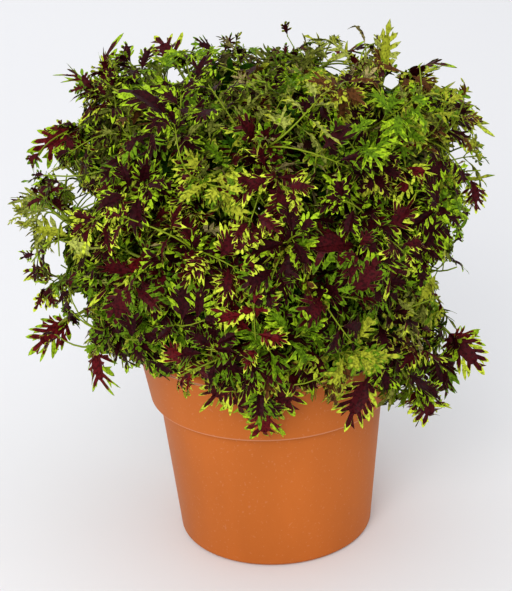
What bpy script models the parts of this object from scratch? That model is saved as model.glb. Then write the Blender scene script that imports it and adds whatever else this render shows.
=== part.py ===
"""A potted coleus: a terracotta-coloured pot filled with compost, and a bushy plant with deeply cut leaves.

Metres, +Z up, seen from the front along +Y. The origin is the centre of the pot's flat underside.
A square main stem stands in the compost. Boughs leave it in three rings, and each bough ends at one mass
of foliage: a stem, its dense core, its twigs and their leaves, fused into one body. One more mass sits on
the main stem's tip. Each mass keeps to the part of the crown that lies nearest to it.
"""

import math
import random

import bmesh
import bpy
import numpy as np
from mathutils import Vector
from mathutils.bvhtree import BVHTree

# The gap between pieces that touch on the real plant
SEAT_GAP = 0.0003

# Pot
RIM_RADIUS = 0.127
RIM_MOUTH_RADIUS = 0.119
POT_HEIGHT = 0.212
LIP_HEIGHT = 0.009
BAND_FOOT_HEIGHT = 0.147
BAND_FOOT_RADIUS = 0.1176
BODY_TOP_RADIUS = 0.1096
FOOT_RADIUS = 0.0957
FOOT_ROUNDING = 0.004
EDGE_ROUNDING = 0.0012
RIM_LINE = 0.0008
WALL = 0.003
POT_SIDES = 36
DRAIN_HOLES = 5
DRAIN_HOLE_RADIUS = 0.0045
DRAIN_RING_RADIUS = 0.066

# Compost
COMPOST_HEIGHT = 0.190
COMPOST_DISH = 0.003
COMPOST_SHOULDER_RADIUS = 0.075
STEM_SEAT_RADIUS = 0.022

# Crown: a round drum with soft edges, which the leaf tips reach
CROWN_CENTRE = Vector((-0.010, 0.0, 0.310))
CROWN_RADIUS = 0.216
CROWN_RISE = 0.175
CROWN_DROP = 0.180
CROWN_POWER = 4.4
# How much the top rises per metre to the right and to the back
CROWN_TILT = Vector((0.05, -0.05, 0.0))
# How much higher the crown's underside is at the front, where the pot's rim shows, and where that is most
FRONT_LIFT = 0.082
LIFT_BEARING = math.radians(-115)
# Where the outline stands out or draws in: bearing from +X, height, change of radius, spread in height
OUTLINE_SWELLS = (
    (math.radians(180), 0.345, 0.014, 0.050),
    (math.radians(185), 0.436, -0.056, 0.025),
    (math.radians(200), 0.158, -0.070, 0.036),
    (math.radians(-5), 0.245, -0.028, 0.036),
    (math.radians(-20), 0.150, 0.030, 0.028),
    (math.radians(5), 0.390, 0.010, 0.040),
)
SWELL_BREADTH = 1.6
# Sprays that stand out of the crown: the points that their leaf tips reach
SPRAY_TIPS = (
    (0.121, 0.030, 0.497),
    (0.060, 0.050, 0.487),
    (-0.136, 0.030, 0.491),
    (-0.172, 0.000, 0.475),
    (0.172, 0.010, 0.466),
    (0.195, 0.000, 0.436),
    (0.214, 0.000, 0.399),
    (-0.207, -0.020, 0.399),
    (-0.226, -0.040, 0.211),
    (-0.222, -0.030, 0.335),
    (-0.158, -0.060, 0.173),
    (-0.059, -0.145, 0.198),
    (-0.007, -0.145, 0.157),
    (0.064, -0.145, 0.171),
    (-0.032, -0.150, 0.186),
    (0.020, -0.150, 0.188),
    (0.204, -0.045, 0.170),
    (0.155, -0.080, 0.137),
    (-0.100, 0.170, 0.462),
    (0.110, 0.180, 0.440),
    (0.150, 0.160, 0.330),
    (-0.140, 0.180, 0.290),
    (0.040, 0.220, 0.230),
)
SPRAY_LEAF = 0.052
SPRAY_DEPTH = 1.80

# Main stem
STEM_TOP = 0.305
STEM_FOOT_RADIUS = 0.0125
STEM_RADIUS = 0.0080
STEM_TIP_RADIUS = 0.0042
STEM_FLARE_HEIGHT = 0.008
STEM_STATIONS = 4
STEM_LEAN = Vector((0.004, -0.003, 0.0))

# Boughs and the masses they carry, ring by ring: name, count, first bearing, the masses' distance from the
# axis and height, and the height on the main stem of the ring's first and last boughs
RINGS = (
    ("low", 8, 0.00, 0.160, 0.226, 0.205, 0.219),
    ("middle", 8, 0.39, 0.154, 0.325, 0.238, 0.252),
    ("upper", 7, 0.25, 0.130, 0.425, 0.270, 0.285),
)
CROWN_TIP_HEIGHT = 0.435
BOUGH_RADIUS = 0.0036
BOUGH_TIP_RADIUS = 0.0026
BOUGH_RISE = math.radians(22)
BOUGH_REACH = 0.58
BOUGH_LIFT = 0.008
BOUGH_STATIONS = 5
BOUGH_SIDES = 4
LIMB_CLEARANCE = 0.0020

# The dense heart of each mass, which its twigs and leaves stand out of
CORE_INSET = 0.10
CORE_RADIUS = 0.056
CORE_LEAST_RADIUS = 0.012
CORE_DEPTH = 0.77
CORE_MARGIN = 0.005
CORE_POT_GAP = 0.010
CORE_STEP = 0.002

# Twigs and leaves of the solids
TWIGS_PER_MASS = 4
TWIG_RADIUS = 0.0019
TWIG_TIP_RADIUS = 0.0013
TWIG_CLEARANCE = 0.004
# Where twigs leave the mass's stem, in eighths of its length
TWIG_STARTS = (5, 7, 8, 6)
TARGET_TRIES = 24
TARGET_SEARCH = 0.11
TARGET_DEPTHS = (0.70, 0.84)
TARGET_MARGIN = 0.008
TARGET_POT_GAP = 0.012
LEAVES_PER_TWIG = 3
CORE_LEAVES = 14
CORE_LEAF_REACH = math.radians(122)
LEAF_LENGTH = 0.078
LEAF_HALF_WIDTH = 0.34
LEAF_HALF_THICKNESS = 0.0006
LEAF_ROOT_DEPTH = 0.0010
LEAF_ROOT_SINK = 0.008
LEAF_SHRINK = 0.045
LEAF_ARCH = 0.05
LEAF_TRIES = 9
SEED = 20


def clear_scene():
    for obj in list(bpy.data.objects):
        bpy.data.objects.remove(obj)


def material(name, colour, roughness):
    made = bpy.data.materials.new(name)
    made.use_nodes = True
    shader = made.node_tree.nodes["Principled BSDF"]
    shader.inputs["Base Color"].default_value = (*colour, 1.0)
    shader.inputs["Roughness"].default_value = roughness
    shader.inputs["Metallic"].default_value = 0.0
    made.diffuse_color = (*colour, 1.0)
    return made


def add_object(name, mesh, surface, smooth_angle=None):
    if surface:
        mesh.materials.append(surface)
    obj = bpy.data.objects.new(name, mesh)
    bpy.context.scene.collection.objects.link(obj)
    if smooth_angle:
        mesh.shade_smooth()
        mesh.set_sharp_from_angle(angle=smooth_angle)
    return obj


def mesh_of(name, points, faces):
    mesh = bpy.data.meshes.new(name)
    mesh.from_pydata([tuple(p) for p in points], [], faces)
    mesh.validate()
    return mesh


def turned_mesh(name, profile, sides):
    """A solid of revolution about Z. The profile's (radius, height) points run from the axis to the axis."""
    bm = bmesh.new()
    corners = [bm.verts.new((radius, 0.0, height)) for radius, height in profile]
    edges = [bm.edges.new(pair) for pair in zip(corners, corners[1:])]
    bmesh.ops.spin(bm, geom=corners + edges, cent=(0, 0, 0), axis=(0, 0, 1), angle=math.tau, steps=sides)
    bmesh.ops.remove_doubles(bm, verts=bm.verts, dist=1e-6)
    bmesh.ops.recalc_face_normals(bm, faces=bm.faces)
    mesh = bpy.data.meshes.new(name)
    bm.to_mesh(mesh)
    bm.free()
    return mesh


# Pot and compost


def quarter_arc(radius, height, wide, tall, first, steps):
    """(radius, height) points of a quarter of an oval, from its first angle in degrees on."""
    angles = [math.radians(first + 90 * k / steps) for k in range(steps + 1)]
    return [(radius + wide * math.cos(a), height + tall * math.sin(a)) for a in angles]


def pot_outside():
    """(radius, height) from the middle of the underside to the rim's mouth."""
    band_top = POT_HEIGHT - LIP_HEIGHT
    foot, edge = FOOT_ROUNDING, EDGE_ROUNDING
    profile = [(0.0, 0.0)]
    profile += quarter_arc(FOOT_RADIUS - foot, foot, foot, foot, -90, 3)
    profile.append((BODY_TOP_RADIUS, BAND_FOOT_HEIGHT))
    profile += quarter_arc(BAND_FOOT_RADIUS - edge, BAND_FOOT_HEIGHT + edge, edge, edge, -90, 2)
    profile.append((RIM_RADIUS, band_top))
    lip = RIM_RADIUS - RIM_LINE - RIM_MOUTH_RADIUS
    profile += quarter_arc(RIM_MOUTH_RADIUS, band_top + RIM_LINE, lip, LIP_HEIGHT - RIM_LINE, 0, 4)
    return profile


def pot_inside():
    """(radius, height) from the top of the band's inner wall down to the middle of the floor."""
    shelf = BAND_FOOT_HEIGHT + WALL
    return [
        (BAND_FOOT_RADIUS - WALL, shelf),
        (BODY_TOP_RADIUS - WALL, shelf),
        (FOOT_RADIUS - WALL, 2 * WALL),
        (FOOT_RADIUS - 2 * WALL, WALL),
        (0.0, WALL),
    ]


def inner_radius(height):
    """The inner radius of the pot's band at a height."""
    return float(np.interp(height, [BAND_FOOT_HEIGHT, POT_HEIGHT], [BAND_FOOT_RADIUS - WALL, RIM_MOUTH_RADIUS]))


def outer_radius(height):
    """The pot's outer radius at a height."""
    heights = [0.0, BAND_FOOT_HEIGHT - SEAT_GAP, BAND_FOOT_HEIGHT, POT_HEIGHT]
    return float(np.interp(height, heights, [FOOT_RADIUS, BODY_TOP_RADIUS, BAND_FOOT_RADIUS, RIM_RADIUS]))


def make_pot(surface):
    pot = add_object("pot", turned_mesh("pot", pot_outside() + pot_inside(), POT_SIDES), surface)
    bm = bmesh.new()
    for k in range(DRAIN_HOLES):
        angle = math.tau * k / DRAIN_HOLES
        hole = bmesh.ops.create_cone(
            bm, cap_ends=True, segments=8, radius1=DRAIN_HOLE_RADIUS, radius2=DRAIN_HOLE_RADIUS, depth=4 * WALL
        )
        place = Vector((math.cos(angle), math.sin(angle), 0.0)) * DRAIN_RING_RADIUS
        bmesh.ops.translate(bm, vec=place, verts=hole["verts"])
    mesh = bpy.data.meshes.new("drain_drills")
    bm.to_mesh(mesh)
    bm.free()
    drills = add_object("drain_drills", mesh, None)
    drills.hide_render = True
    drills.display_type = "WIRE"
    cut = pot.modifiers.new("drain_holes", "BOOLEAN")
    cut.operation = "DIFFERENCE"
    cut.solver = "EXACT"
    cut.object = drills
    pot.data.shade_smooth()
    pot.data.set_sharp_from_angle(angle=math.radians(40))
    return pot


def make_compost(surface):
    edge = COMPOST_HEIGHT - COMPOST_DISH
    profile = [(0.0, WALL + SEAT_GAP)]
    for radius, height in reversed(pot_inside()[:-1]):
        profile.append((radius - SEAT_GAP, height + SEAT_GAP))
    profile += [
        (inner_radius(edge) - SEAT_GAP, edge),
        (COMPOST_SHOULDER_RADIUS, COMPOST_HEIGHT - COMPOST_DISH / 3),
        (STEM_SEAT_RADIUS, COMPOST_HEIGHT),
        (0.0, COMPOST_HEIGHT),
    ]
    return add_object("compost", turned_mesh("compost", profile, POT_SIDES), surface, math.radians(40))


# Limbs


def curve_points(start, control, end, stations):
    """Points along a quadratic curve."""
    shares = [k / (stations - 1) for k in range(stations)]
    return [start * (1 - t) ** 2 + control * 2 * t * (1 - t) + end * t**2 for t in shares]


def tapered(first, last, stations):
    return [first + (last - first) * k / (stations - 1) for k in range(stations)]


def spread_over(corners, steps=4):
    """Points spread evenly over a triangle, its corners and edges included."""
    first, second, third = corners
    found = []
    for i in range(steps + 1):
        for j in range(steps + 1 - i):
            found.append(first + (second - first) * (i / steps) + (third - first) * (j / steps))
    return found


def ring_angles(sides):
    """Three sides, four, or a square with its corners cut off."""
    if sides < 8:
        return [math.tau * k / sides for k in range(sides)]
    return [math.radians(90 * quarter + turn) for quarter in range(4) for turn in (30, 60)]


def tangents_of(path):
    steps = [(b - a).normalized() for a, b in zip(path, path[1:])]
    middles = [(a + b).normalized() for a, b in zip(steps, steps[1:])]
    return [steps[0]] + middles + [steps[-1]]


def limb_shape(path, radii, sides):
    """Points and faces of a closed limb with flat ends square to its path."""
    points, faces = [], []
    tangents = tangents_of(path)
    side = tangents[0].orthogonal().normalized()
    for centre, tangent, radius in zip(path, tangents, radii):
        side = (side - tangent * side.dot(tangent)).normalized()
        across = tangent.cross(side)
        for angle in ring_angles(sides):
            points.append(centre + (side * math.cos(angle) + across * math.sin(angle)) * radius)
    for ring in range(len(path) - 1):
        first, second = ring * sides, (ring + 1) * sides
        for k in range(sides):
            after = (k + 1) % sides
            faces.append((first + k, first + after, second + after, second + k))
    faces.append(tuple(reversed(range(sides))))
    faces.append(tuple((len(path) - 1) * sides + k for k in range(sides)))
    return points, faces


def stem_point(height):
    """The middle of the main stem at a height."""
    share = (height - COMPOST_HEIGHT) / (STEM_TOP - COMPOST_HEIGHT)
    return Vector((0.0, 0.0, height)) + STEM_LEAN * share**2


def stem_radius(height):
    heights = [COMPOST_HEIGHT, COMPOST_HEIGHT + STEM_FLARE_HEIGHT, STEM_TOP]
    return float(np.interp(height, heights, [STEM_FOOT_RADIUS, STEM_RADIUS, STEM_TIP_RADIUS]))


def main_stem_path():
    """From the flat cut on the compost, over the root flare and on in even steps to the tip."""
    foot = COMPOST_HEIGHT + SEAT_GAP
    flare = foot + STEM_FLARE_HEIGHT
    steps = [flare + (STEM_TOP - flare) * k / (STEM_STATIONS - 1) for k in range(STEM_STATIONS)]
    return [stem_point(height) for height in [foot] + steps]


def main_stem_shape():
    path = main_stem_path()
    radii = [STEM_FOOT_RADIUS] + [stem_radius(p.z) for p in path[1:]]
    return limb_shape(path, radii, 8)


def bough_shape(path):
    return limb_shape(path, tapered(BOUGH_RADIUS, BOUGH_TIP_RADIUS, len(path)), BOUGH_SIDES)


class Mass:
    """One mass of foliage: its name, the point it is nearest to, and the limb that carries it."""

    def __init__(self, name, site, bough, stem_start, stem_aim):
        self.name = name
        self.site = site
        self.bough = bough
        self.stem_start = stem_start
        self.stem_aim = stem_aim

    def stem_path(self, stations=4):
        reach = (self.site - self.stem_start).length
        return curve_points(self.stem_start, self.stem_start + self.stem_aim * 0.45 * reach, self.site, stations)


def bough_path(bearing, height, site, away):
    """From a distance off the main stem's middle, out and up towards a mass's site."""
    out = Vector((math.cos(bearing), math.sin(bearing), 0.0))
    aim = out * math.cos(BOUGH_RISE) + Vector((0.0, 0.0, math.sin(BOUGH_RISE)))
    start = stem_point(height) + out * away
    end = start.lerp(site, BOUGH_REACH) + Vector((0.0, 0.0, BOUGH_LIFT))
    return curve_points(start, start + aim * 0.5 * (end - start).length, end, BOUGH_STATIONS)


def seated_bough(main_stem, bearing, height, site):
    """A bough's path, moved in until its end is the seat gap off the main stem's surface."""
    away = 2 * STEM_RADIUS
    for _ in range(8):
        path = bough_path(bearing, height, site, away)
        ring = bough_shape(path)[0][:BOUGH_SIDES]
        cap = spread_over(ring[:3]) + spread_over([ring[0], ring[2], ring[3]])
        away -= min(main_stem.find_nearest(p)[3] for p in cap) - SEAT_GAP
    return path


def plan_masses():
    """Every mass with its bough's path, ring by ring, and the mass on the main stem's tip."""
    masses = []
    main_stem = BVHTree.FromPolygons(*main_stem_shape())
    for name, count, first, distance, height, low, high in RINGS:
        for k in range(count):
            bearing = first + math.tau * k / count
            site = Vector((math.cos(bearing) * distance, math.sin(bearing) * distance, height))
            site.x += CROWN_CENTRE.x
            if site.z < CROWN_CENTRE.z:
                site.z += (CROWN_CENTRE.z - site.z) * (1.0 - crown_drop(bearing) / CROWN_DROP)
            path = seated_bough(main_stem, bearing, (low, high)[k % 2], site)
            aim = (path[-1] - path[-2]).normalized()
            masses.append(Mass(f"{name}_{k + 1}", site, path, path[-1] + aim * SEAT_GAP, aim))
    tip = main_stem_path()[-1]
    top = Vector((CROWN_CENTRE.x, 0.0, CROWN_TIP_HEIGHT))
    aim = (tip - main_stem_path()[-2]).normalized()
    masses.append(Mass("crown_tip", top, None, tip + aim * SEAT_GAP, aim))
    return masses


# The space that each mass keeps to


def outline_radius(bearing, height):
    """The crown's radius at a bearing and height, where it is widest."""
    radius = CROWN_RADIUS
    for direction, level, change, spread in OUTLINE_SWELLS:
        turn = math.cos(bearing - direction)
        near = math.exp(-(((height - level) / spread) ** 2)) * math.exp(-SWELL_BREADTH * (1 - turn))
        radius += change * near
    return radius


def crown_drop(bearing):
    """How far the crown reaches below its centre at a bearing."""
    return CROWN_DROP - FRONT_LIFT * max(0.0, math.cos(bearing - LIFT_BEARING))


def crown_depth(point):
    """0 at the crown's heart and 1 on its outline."""
    offset = point - CROWN_CENTRE
    offset.z -= offset.dot(CROWN_TILT)
    bearing = math.atan2(offset.y, offset.x)
    flat = math.hypot(offset.x, offset.y) / outline_radius(bearing, point.z)
    tall = abs(offset.z) / (CROWN_RISE if offset.z > 0 else crown_drop(bearing))
    return (flat**CROWN_POWER + tall**CROWN_POWER) ** (1 / CROWN_POWER)


def space_left(point, mass, masses):
    """How far the point is inside the space nearest to the mass's site."""
    least = 1.0
    for other in masses:
        if other is not mass:
            apart = (other.site - mass.site).length
            gain = (point - other.site).length_squared - (point - mass.site).length_squared
            least = min(least, gain / (2 * apart))
    return least


def clear_of_pot(point, gap):
    """True where a point is outside the pot and above the compost."""
    radius = math.hypot(point.x, point.y)
    if point.z > POT_HEIGHT + gap:
        return True
    if point.z > COMPOST_HEIGHT + gap and radius < inner_radius(point.z) - gap:
        return True
    return radius > outer_radius(point.z) + gap


class Limbs:
    """The main stem and the boughs as straight pieces, for clearances."""

    def __init__(self, masses):
        runs = [(main_stem_path(), STEM_FOOT_RADIUS)]
        runs += [(mass.bough, BOUGH_RADIUS) for mass in masses if mass.bough]
        pieces = [(a, b, radius) for path, radius in runs for a, b in zip(path, path[1:])]
        self.starts = np.array([a for a, _, _ in pieces])
        self.steps = np.array([b - a for a, b, _ in pieces])
        self.radii = np.array([radius for _, _, radius in pieces])

    def gap(self, points):
        """The least distance from any of the points to a limb's side."""
        points = np.array(points)
        offset = points[:, None, :] - self.starts[None]
        share = (offset * self.steps).sum(-1) / (self.steps**2).sum(-1)
        nearest = offset - np.clip(share, 0, 1)[..., None] * self.steps
        gaps = np.linalg.norm(nearest, axis=-1) - self.radii
        return float(gaps.min())

    def stands_clear(self, points, clearance):
        """True where no point is nearer than the clearance to a limb, the pot or the compost."""
        return self.gap(points) > clearance and all(clear_of_pot(p, clearance) for p in points)


# Cores


def core_allows(point, mass, masses):
    if crown_depth(point) > CORE_DEPTH or space_left(point, mass, masses) < CORE_MARGIN:
        return False
    return clear_of_pot(point, CORE_POT_GAP)


def core_shape(dice, mass, masses, limbs):
    """A faceted lump round the mass's site, kept inside its space and off the limbs."""
    centre = mass.site.lerp(CROWN_CENTRE, CORE_INSET)
    bm = bmesh.new()
    bmesh.ops.create_icosphere(bm, subdivisions=2, radius=1.0)
    faces = [tuple(v.index for v in face.verts) for face in bm.faces]
    directions = [v.co.normalized() for v in bm.verts]
    bm.free()
    reaches = []
    for direction in directions:
        reach = CORE_RADIUS
        while reach > CORE_LEAST_RADIUS and not core_allows(centre + direction * reach, mass, masses):
            reach -= CORE_STEP
        reaches.append(reach * dice.uniform(0.84, 1.0))
    tight = True
    while tight:
        points = [centre + direction * reach for direction, reach in zip(directions, reaches)]
        tight = [f for f in faces if not limbs.stands_clear(spread_over([points[k] for k in f]), LIMB_CLEARANCE)]
        for k in {k for face in tight for k in face}:
            reaches[k] *= 0.95
    return [centre + direction * reach for direction, reach in zip(directions, reaches)], faces


# Twigs: the growing rule, which picks where the shoots end and runs a twig to each


def twig_path(mass, number, target, stations=3):
    """From inside the mass's stem to a target, leaving the stem forwards and curving up at the end."""
    stem = mass.stem_path(9)
    start = stem[TWIG_STARTS[number % len(TWIG_STARTS)]]
    forwards = (stem[-1] - stem[-2]).normalized()
    reach = (target - start).length
    control = start.lerp(target, 0.45) + forwards * 0.12 * reach - Vector((0.0, 0.0, 0.06 * reach))
    return curve_points(start, control, target, stations)


def pick_twigs(dice, mass, masses, limbs, count):
    """Twigs whose ends spread evenly through the outer part of the mass's space, the best of several draws."""
    paths = []
    while len(paths) < count:
        best, best_score = None, -1.0
        for _ in range(TARGET_TRIES):
            spot = mass.site + Vector([dice.uniform(-TARGET_SEARCH, TARGET_SEARCH) for _ in range(3)])
            if not TARGET_DEPTHS[0] < crown_depth(spot) < TARGET_DEPTHS[1]:
                continue
            if space_left(spot, mass, masses) < TARGET_MARGIN or not clear_of_pot(spot, TARGET_POT_GAP):
                continue
            path = twig_path(mass, len(paths), spot)
            way = [a.lerp(b, share) for a, b in zip(path, path[1:]) for share in (0.25, 0.5, 0.75, 1.0)]
            if not limbs.stands_clear(way, TWIG_CLEARANCE):
                continue
            score = min([(spot - other[-1]).length for other in paths] + [TARGET_SEARCH])
            if score > best_score:
                best, best_score = path, score
        if best:
            paths.append(best)
    return paths


def spray_tips(mass, masses):
    """The tips of the outstanding sprays that this mass carries."""
    tips = [Vector(tip) for tip in SPRAY_TIPS]
    return [tip for tip in tips if min(masses, key=lambda other: (other.site - tip).length) is mass]


def spray_path(mass, tip):
    """A twig towards a spray's tip, which ends a leaf's length short of it."""
    return twig_path(mass, 1, tip - (tip - mass.site).normalized() * SPRAY_LEAF)


# Leaves of the solids: three-pointed, arched, thickest in the middle, with a stout root


def leaf_shape(root, along, face, length):
    """Points and faces of one leaf. along runs from its root to its tip, and face is its upper side."""
    across = along.cross(face).normalized()
    upper = across.cross(along).normalized()
    half, arch = LEAF_HALF_WIDTH, LEAF_ARCH * length
    rim = [(0.46, -half), (0.58, -0.4 * half), (1.0, 0.0), (0.58, 0.4 * half), (0.46, half)]
    points = [root + upper * LEAF_ROOT_DEPTH / 2, root - upper * LEAF_ROOT_DEPTH / 2]
    points += [root + (along * u + across * v) * length for u, v in rim]
    middle = root + along * 0.42 * length + upper * arch
    points += [middle + upper * LEAF_HALF_THICKNESS, middle - upper * LEAF_HALF_THICKNESS]
    top, under = 7, 8
    faces = [(0, 2, top), (2, 1, under), (6, 0, top), (1, 6, under), (0, 1, 2), (1, 0, 6)]
    for k in range(2, 6):
        faces += [(k, k + 1, top), (k + 1, k, under)]
    return points, faces


def leaf_samples(points):
    """Points all over a leaf, for clearances."""
    root, rim, middle = points[0], points[2:7], points[7]
    outline = [root] + rim
    return [p for a, b in zip(outline, rim + [root]) for p in spread_over((middle, a, b), 7)]


def leaf_fits(mass, masses, limbs, points, depth):
    if max(crown_depth(p) for p in points) > depth:
        return False
    if min(space_left(p, mass, masses) for p in points) < SEAT_GAP:
        return False
    return limbs.stands_clear(leaf_samples(points), LIMB_CLEARANCE)


def try_leaf(mass, masses, limbs, grown, placing, depth=1.0):
    """Adds the first leaf that fits of those that placing() offers, each a little shorter than the last."""
    for attempt in range(LEAF_TRIES):
        root, along, face, length = placing()
        points, faces = leaf_shape(root, along, face, length * (1.0 - LEAF_SHRINK * attempt))
        if not leaf_fits(mass, masses, limbs, points, depth):
            continue
        tree = BVHTree.FromPolygons(points, faces)
        if not any(tree.overlap(other) for _, _, other in grown):
            grown.append((points, faces, tree))
            return


def place_on_twig(dice, path, number):
    """Leaves stand in crossed pairs. The older ones, lower on the twig, spread wider."""
    axis = (path[-1] - path[-2]).normalized()
    up = Vector((0.0, 0.0, 1.0))
    side = axis.orthogonal().normalized()
    across = axis.cross(side)
    turn = math.pi * (number % 2) + math.pi / 2 * (number // 2) + dice.uniform(-0.5, 0.5)
    spread = math.radians((58, 34)[number // 2] + dice.uniform(-10, 10))
    outward = side * math.cos(turn) + across * math.sin(turn)
    along = (axis * math.cos(spread) + outward * math.sin(spread) - up * 0.12).normalized()
    root = path[-2].lerp(path[-1], 0.97 - 0.10 * number) - along * TWIG_TIP_RADIUS
    return root, along, (axis + up * 0.8).normalized(), LEAF_LENGTH * dice.uniform(0.88, 1.08)


def place_on_spray(dice, path, tip):
    """The leaf at a spray's end, which reaches for its tip."""
    root = path[-1] - (tip - path[-1]).normalized() * 2 * TWIG_TIP_RADIUS
    face = Vector((dice.uniform(-0.5, 0.5), dice.uniform(-0.9, 0.1), 1.0))
    return root, (tip - root).normalized(), face.normalized(), (tip - root).length


def even_directions(axis, count, reach):
    """Directions spread evenly, by the golden angle, over the cap of a sphere round an axis."""
    side = axis.orthogonal().normalized()
    across = axis.cross(side)
    found = []
    for k in range(count):
        level = 1.0 - (1.0 - math.cos(reach)) * (k + 0.5) / count
        turn = k * math.pi * (3.0 - math.sqrt(5.0))
        flat = math.sqrt(1.0 - level**2)
        found.append(axis * level + (side * math.cos(turn) + across * math.sin(turn)) * flat)
    return found


def place_on_core(dice, mass, core, centre, direction):
    """A leaf that lies over the core, its root sunk in it and its tip standing clear."""
    outward = (mass.site - CROWN_CENTRE).normalized()
    spot = core.ray_cast(centre, direction)[0]
    loose = Vector([dice.uniform(-1, 1) for _ in range(3)])
    along = direction * 0.50 + outward * 0.20 + loose * 0.55 - Vector((0.0, 0.0, 0.30))
    if along.dot(direction) < 0.3:
        along += direction * 0.5
    along.normalize()
    face = (outward + direction * 1.4 + Vector((0.0, 0.0, 0.4))).normalized()
    return spot - along * LEAF_ROOT_SINK, along, face, LEAF_LENGTH * dice.uniform(0.88, 1.08)


def grow_leaves(dice, mass, masses, limbs, twigs, sprays, core):
    """The leaves that keep to the mass's space, clear of limbs, pot and each other."""
    grown = []
    for path, tip in sprays:
        try_leaf(mass, masses, limbs, grown, lambda: place_on_spray(dice, path, tip), SPRAY_DEPTH)
    for path in [spray for spray, _ in sprays] + twigs:
        for number in range(LEAVES_PER_TWIG):
            try_leaf(mass, masses, limbs, grown, lambda: place_on_twig(dice, path, number))
    centre = sum(core[0], Vector()) / len(core[0])
    tree = BVHTree.FromPolygons(*core)
    for way in even_directions((mass.site - CROWN_CENTRE).normalized(), CORE_LEAVES, CORE_LEAF_REACH):
        try_leaf(mass, masses, limbs, grown, lambda: place_on_core(dice, mass, tree, centre, way))
    return [(points, faces) for points, faces, _ in grown]


# Fusing a mass into one body


def drop_scraps(mesh):
    """Keeps only the largest connected body of a mesh."""
    bm = bmesh.new()
    bm.from_mesh(mesh)
    left, bodies = set(bm.verts), []
    while left:
        reached, edge = set(), [left.pop()]
        while edge:
            vert = edge.pop()
            reached.add(vert)
            for link in vert.link_edges:
                other = link.other_vert(vert)
                if other in left:
                    left.discard(other)
                    edge.append(other)
        bodies.append(reached)
    bodies.sort(key=len)
    for body in bodies[:-1]:
        bmesh.ops.delete(bm, geom=list(body), context="VERTS")
    bm.to_mesh(mesh)
    bm.free()


def fuse(name, shapes, surface):
    """One body from the stem and everything that grows on it, by one union on a collection."""
    parts = bpy.data.collections.new(f"{name}_parts")
    bpy.context.scene.collection.children.link(parts)
    for k, (points, faces) in enumerate(shapes[1:]):
        piece = bpy.data.objects.new(f"{name}_part_{k}", mesh_of(f"{name}_part_{k}", points, faces))
        parts.objects.link(piece)
    body = add_object(name, mesh_of(name, *shapes[0]), None)
    union = body.modifiers.new("fuse", "BOOLEAN")
    union.operation = "UNION"
    union.solver = "EXACT"
    union.operand_type = "COLLECTION"
    union.collection = parts
    graph = bpy.context.evaluated_depsgraph_get()
    fused = bpy.data.meshes.new_from_object(body.evaluated_get(graph))
    body.modifiers.clear()
    body.data = fused
    for piece in list(parts.objects):
        bpy.data.objects.remove(piece)
    bpy.data.collections.remove(parts)
    drop_scraps(fused)
    fused.materials.clear()
    fused.materials.append(surface)
    return body


def make_mass(index, mass, masses, limbs, surface):
    dice = random.Random(SEED + index)
    stem = mass.stem_path()
    shapes = [limb_shape(stem, tapered(BOUGH_TIP_RADIUS, TWIG_RADIUS, len(stem)), 4)]
    core = core_shape(dice, mass, masses, limbs)
    shapes.append(core)
    sprays = [(spray_path(mass, tip), tip) for tip in spray_tips(mass, masses)]
    twigs = pick_twigs(dice, mass, masses, limbs, TWIGS_PER_MASS)
    for path in [spray for spray, _ in sprays] + twigs:
        shapes.append(limb_shape(path, tapered(TWIG_RADIUS, TWIG_TIP_RADIUS, len(path)), 3))
    shapes += grow_leaves(dice, mass, masses, limbs, twigs, sprays, core)
    return fuse(f"foliage_{mass.name}", shapes, surface)


def make_limbs(masses, surface):
    add_object("main_stem", mesh_of("main_stem", *main_stem_shape()), surface)
    for mass in masses:
        if mass.bough:
            name = f"bough_{mass.name}"
            add_object(name, mesh_of(name, *bough_shape(mass.bough)), surface)


def main():
    clear_scene()
    pot_plastic = material("pot_plastic", (0.54, 0.14, 0.030), 0.45)
    peat = material("compost", (0.018, 0.012, 0.008), 0.95)
    green_stem = material("green_stem", (0.30, 0.42, 0.05), 0.50)
    leaf = material("leaf", (0.16, 0.30, 0.015), 0.55)
    make_pot(pot_plastic)
    make_compost(peat)
    masses = plan_masses()
    limbs = Limbs(masses)
    make_limbs(masses, green_stem)
    for index, mass in enumerate(masses):
        make_mass(index, mass, masses, limbs, leaf)


main()
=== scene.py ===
import math
import random
from typing import NamedTuple

import bmesh
import bpy
import numpy as np
from bpy.props import FloatProperty, FloatVectorProperty, IntProperty, PointerProperty
from mathutils import Matrix, Vector
from mathutils.bvhtree import BVHTree


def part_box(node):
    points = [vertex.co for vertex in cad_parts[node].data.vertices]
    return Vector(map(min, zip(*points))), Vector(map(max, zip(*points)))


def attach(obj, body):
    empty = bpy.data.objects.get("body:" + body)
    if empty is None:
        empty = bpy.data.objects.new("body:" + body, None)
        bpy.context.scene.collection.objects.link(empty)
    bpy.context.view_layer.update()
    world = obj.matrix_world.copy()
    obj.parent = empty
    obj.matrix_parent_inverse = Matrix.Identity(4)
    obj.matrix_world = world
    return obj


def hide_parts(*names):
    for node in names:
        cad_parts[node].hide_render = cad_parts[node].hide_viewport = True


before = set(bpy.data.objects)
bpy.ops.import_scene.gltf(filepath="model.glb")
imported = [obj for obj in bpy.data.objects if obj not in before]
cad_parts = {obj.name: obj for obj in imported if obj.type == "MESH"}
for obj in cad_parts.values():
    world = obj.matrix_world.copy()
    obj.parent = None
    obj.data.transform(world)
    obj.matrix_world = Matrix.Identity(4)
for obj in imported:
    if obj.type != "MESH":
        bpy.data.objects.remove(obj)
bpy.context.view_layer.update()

bl_info = {
    "name": "Potted Coleus",
    "version": (1, 0, 0),
    "blender": (4, 5, 0),
    "location": "View3D > Sidebar > Coleus",
    "description": "Dresses a packed pot plant: a bushy coleus with finely cut leaves in a banded pot",
    "category": "Add Mesh",
}

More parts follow.
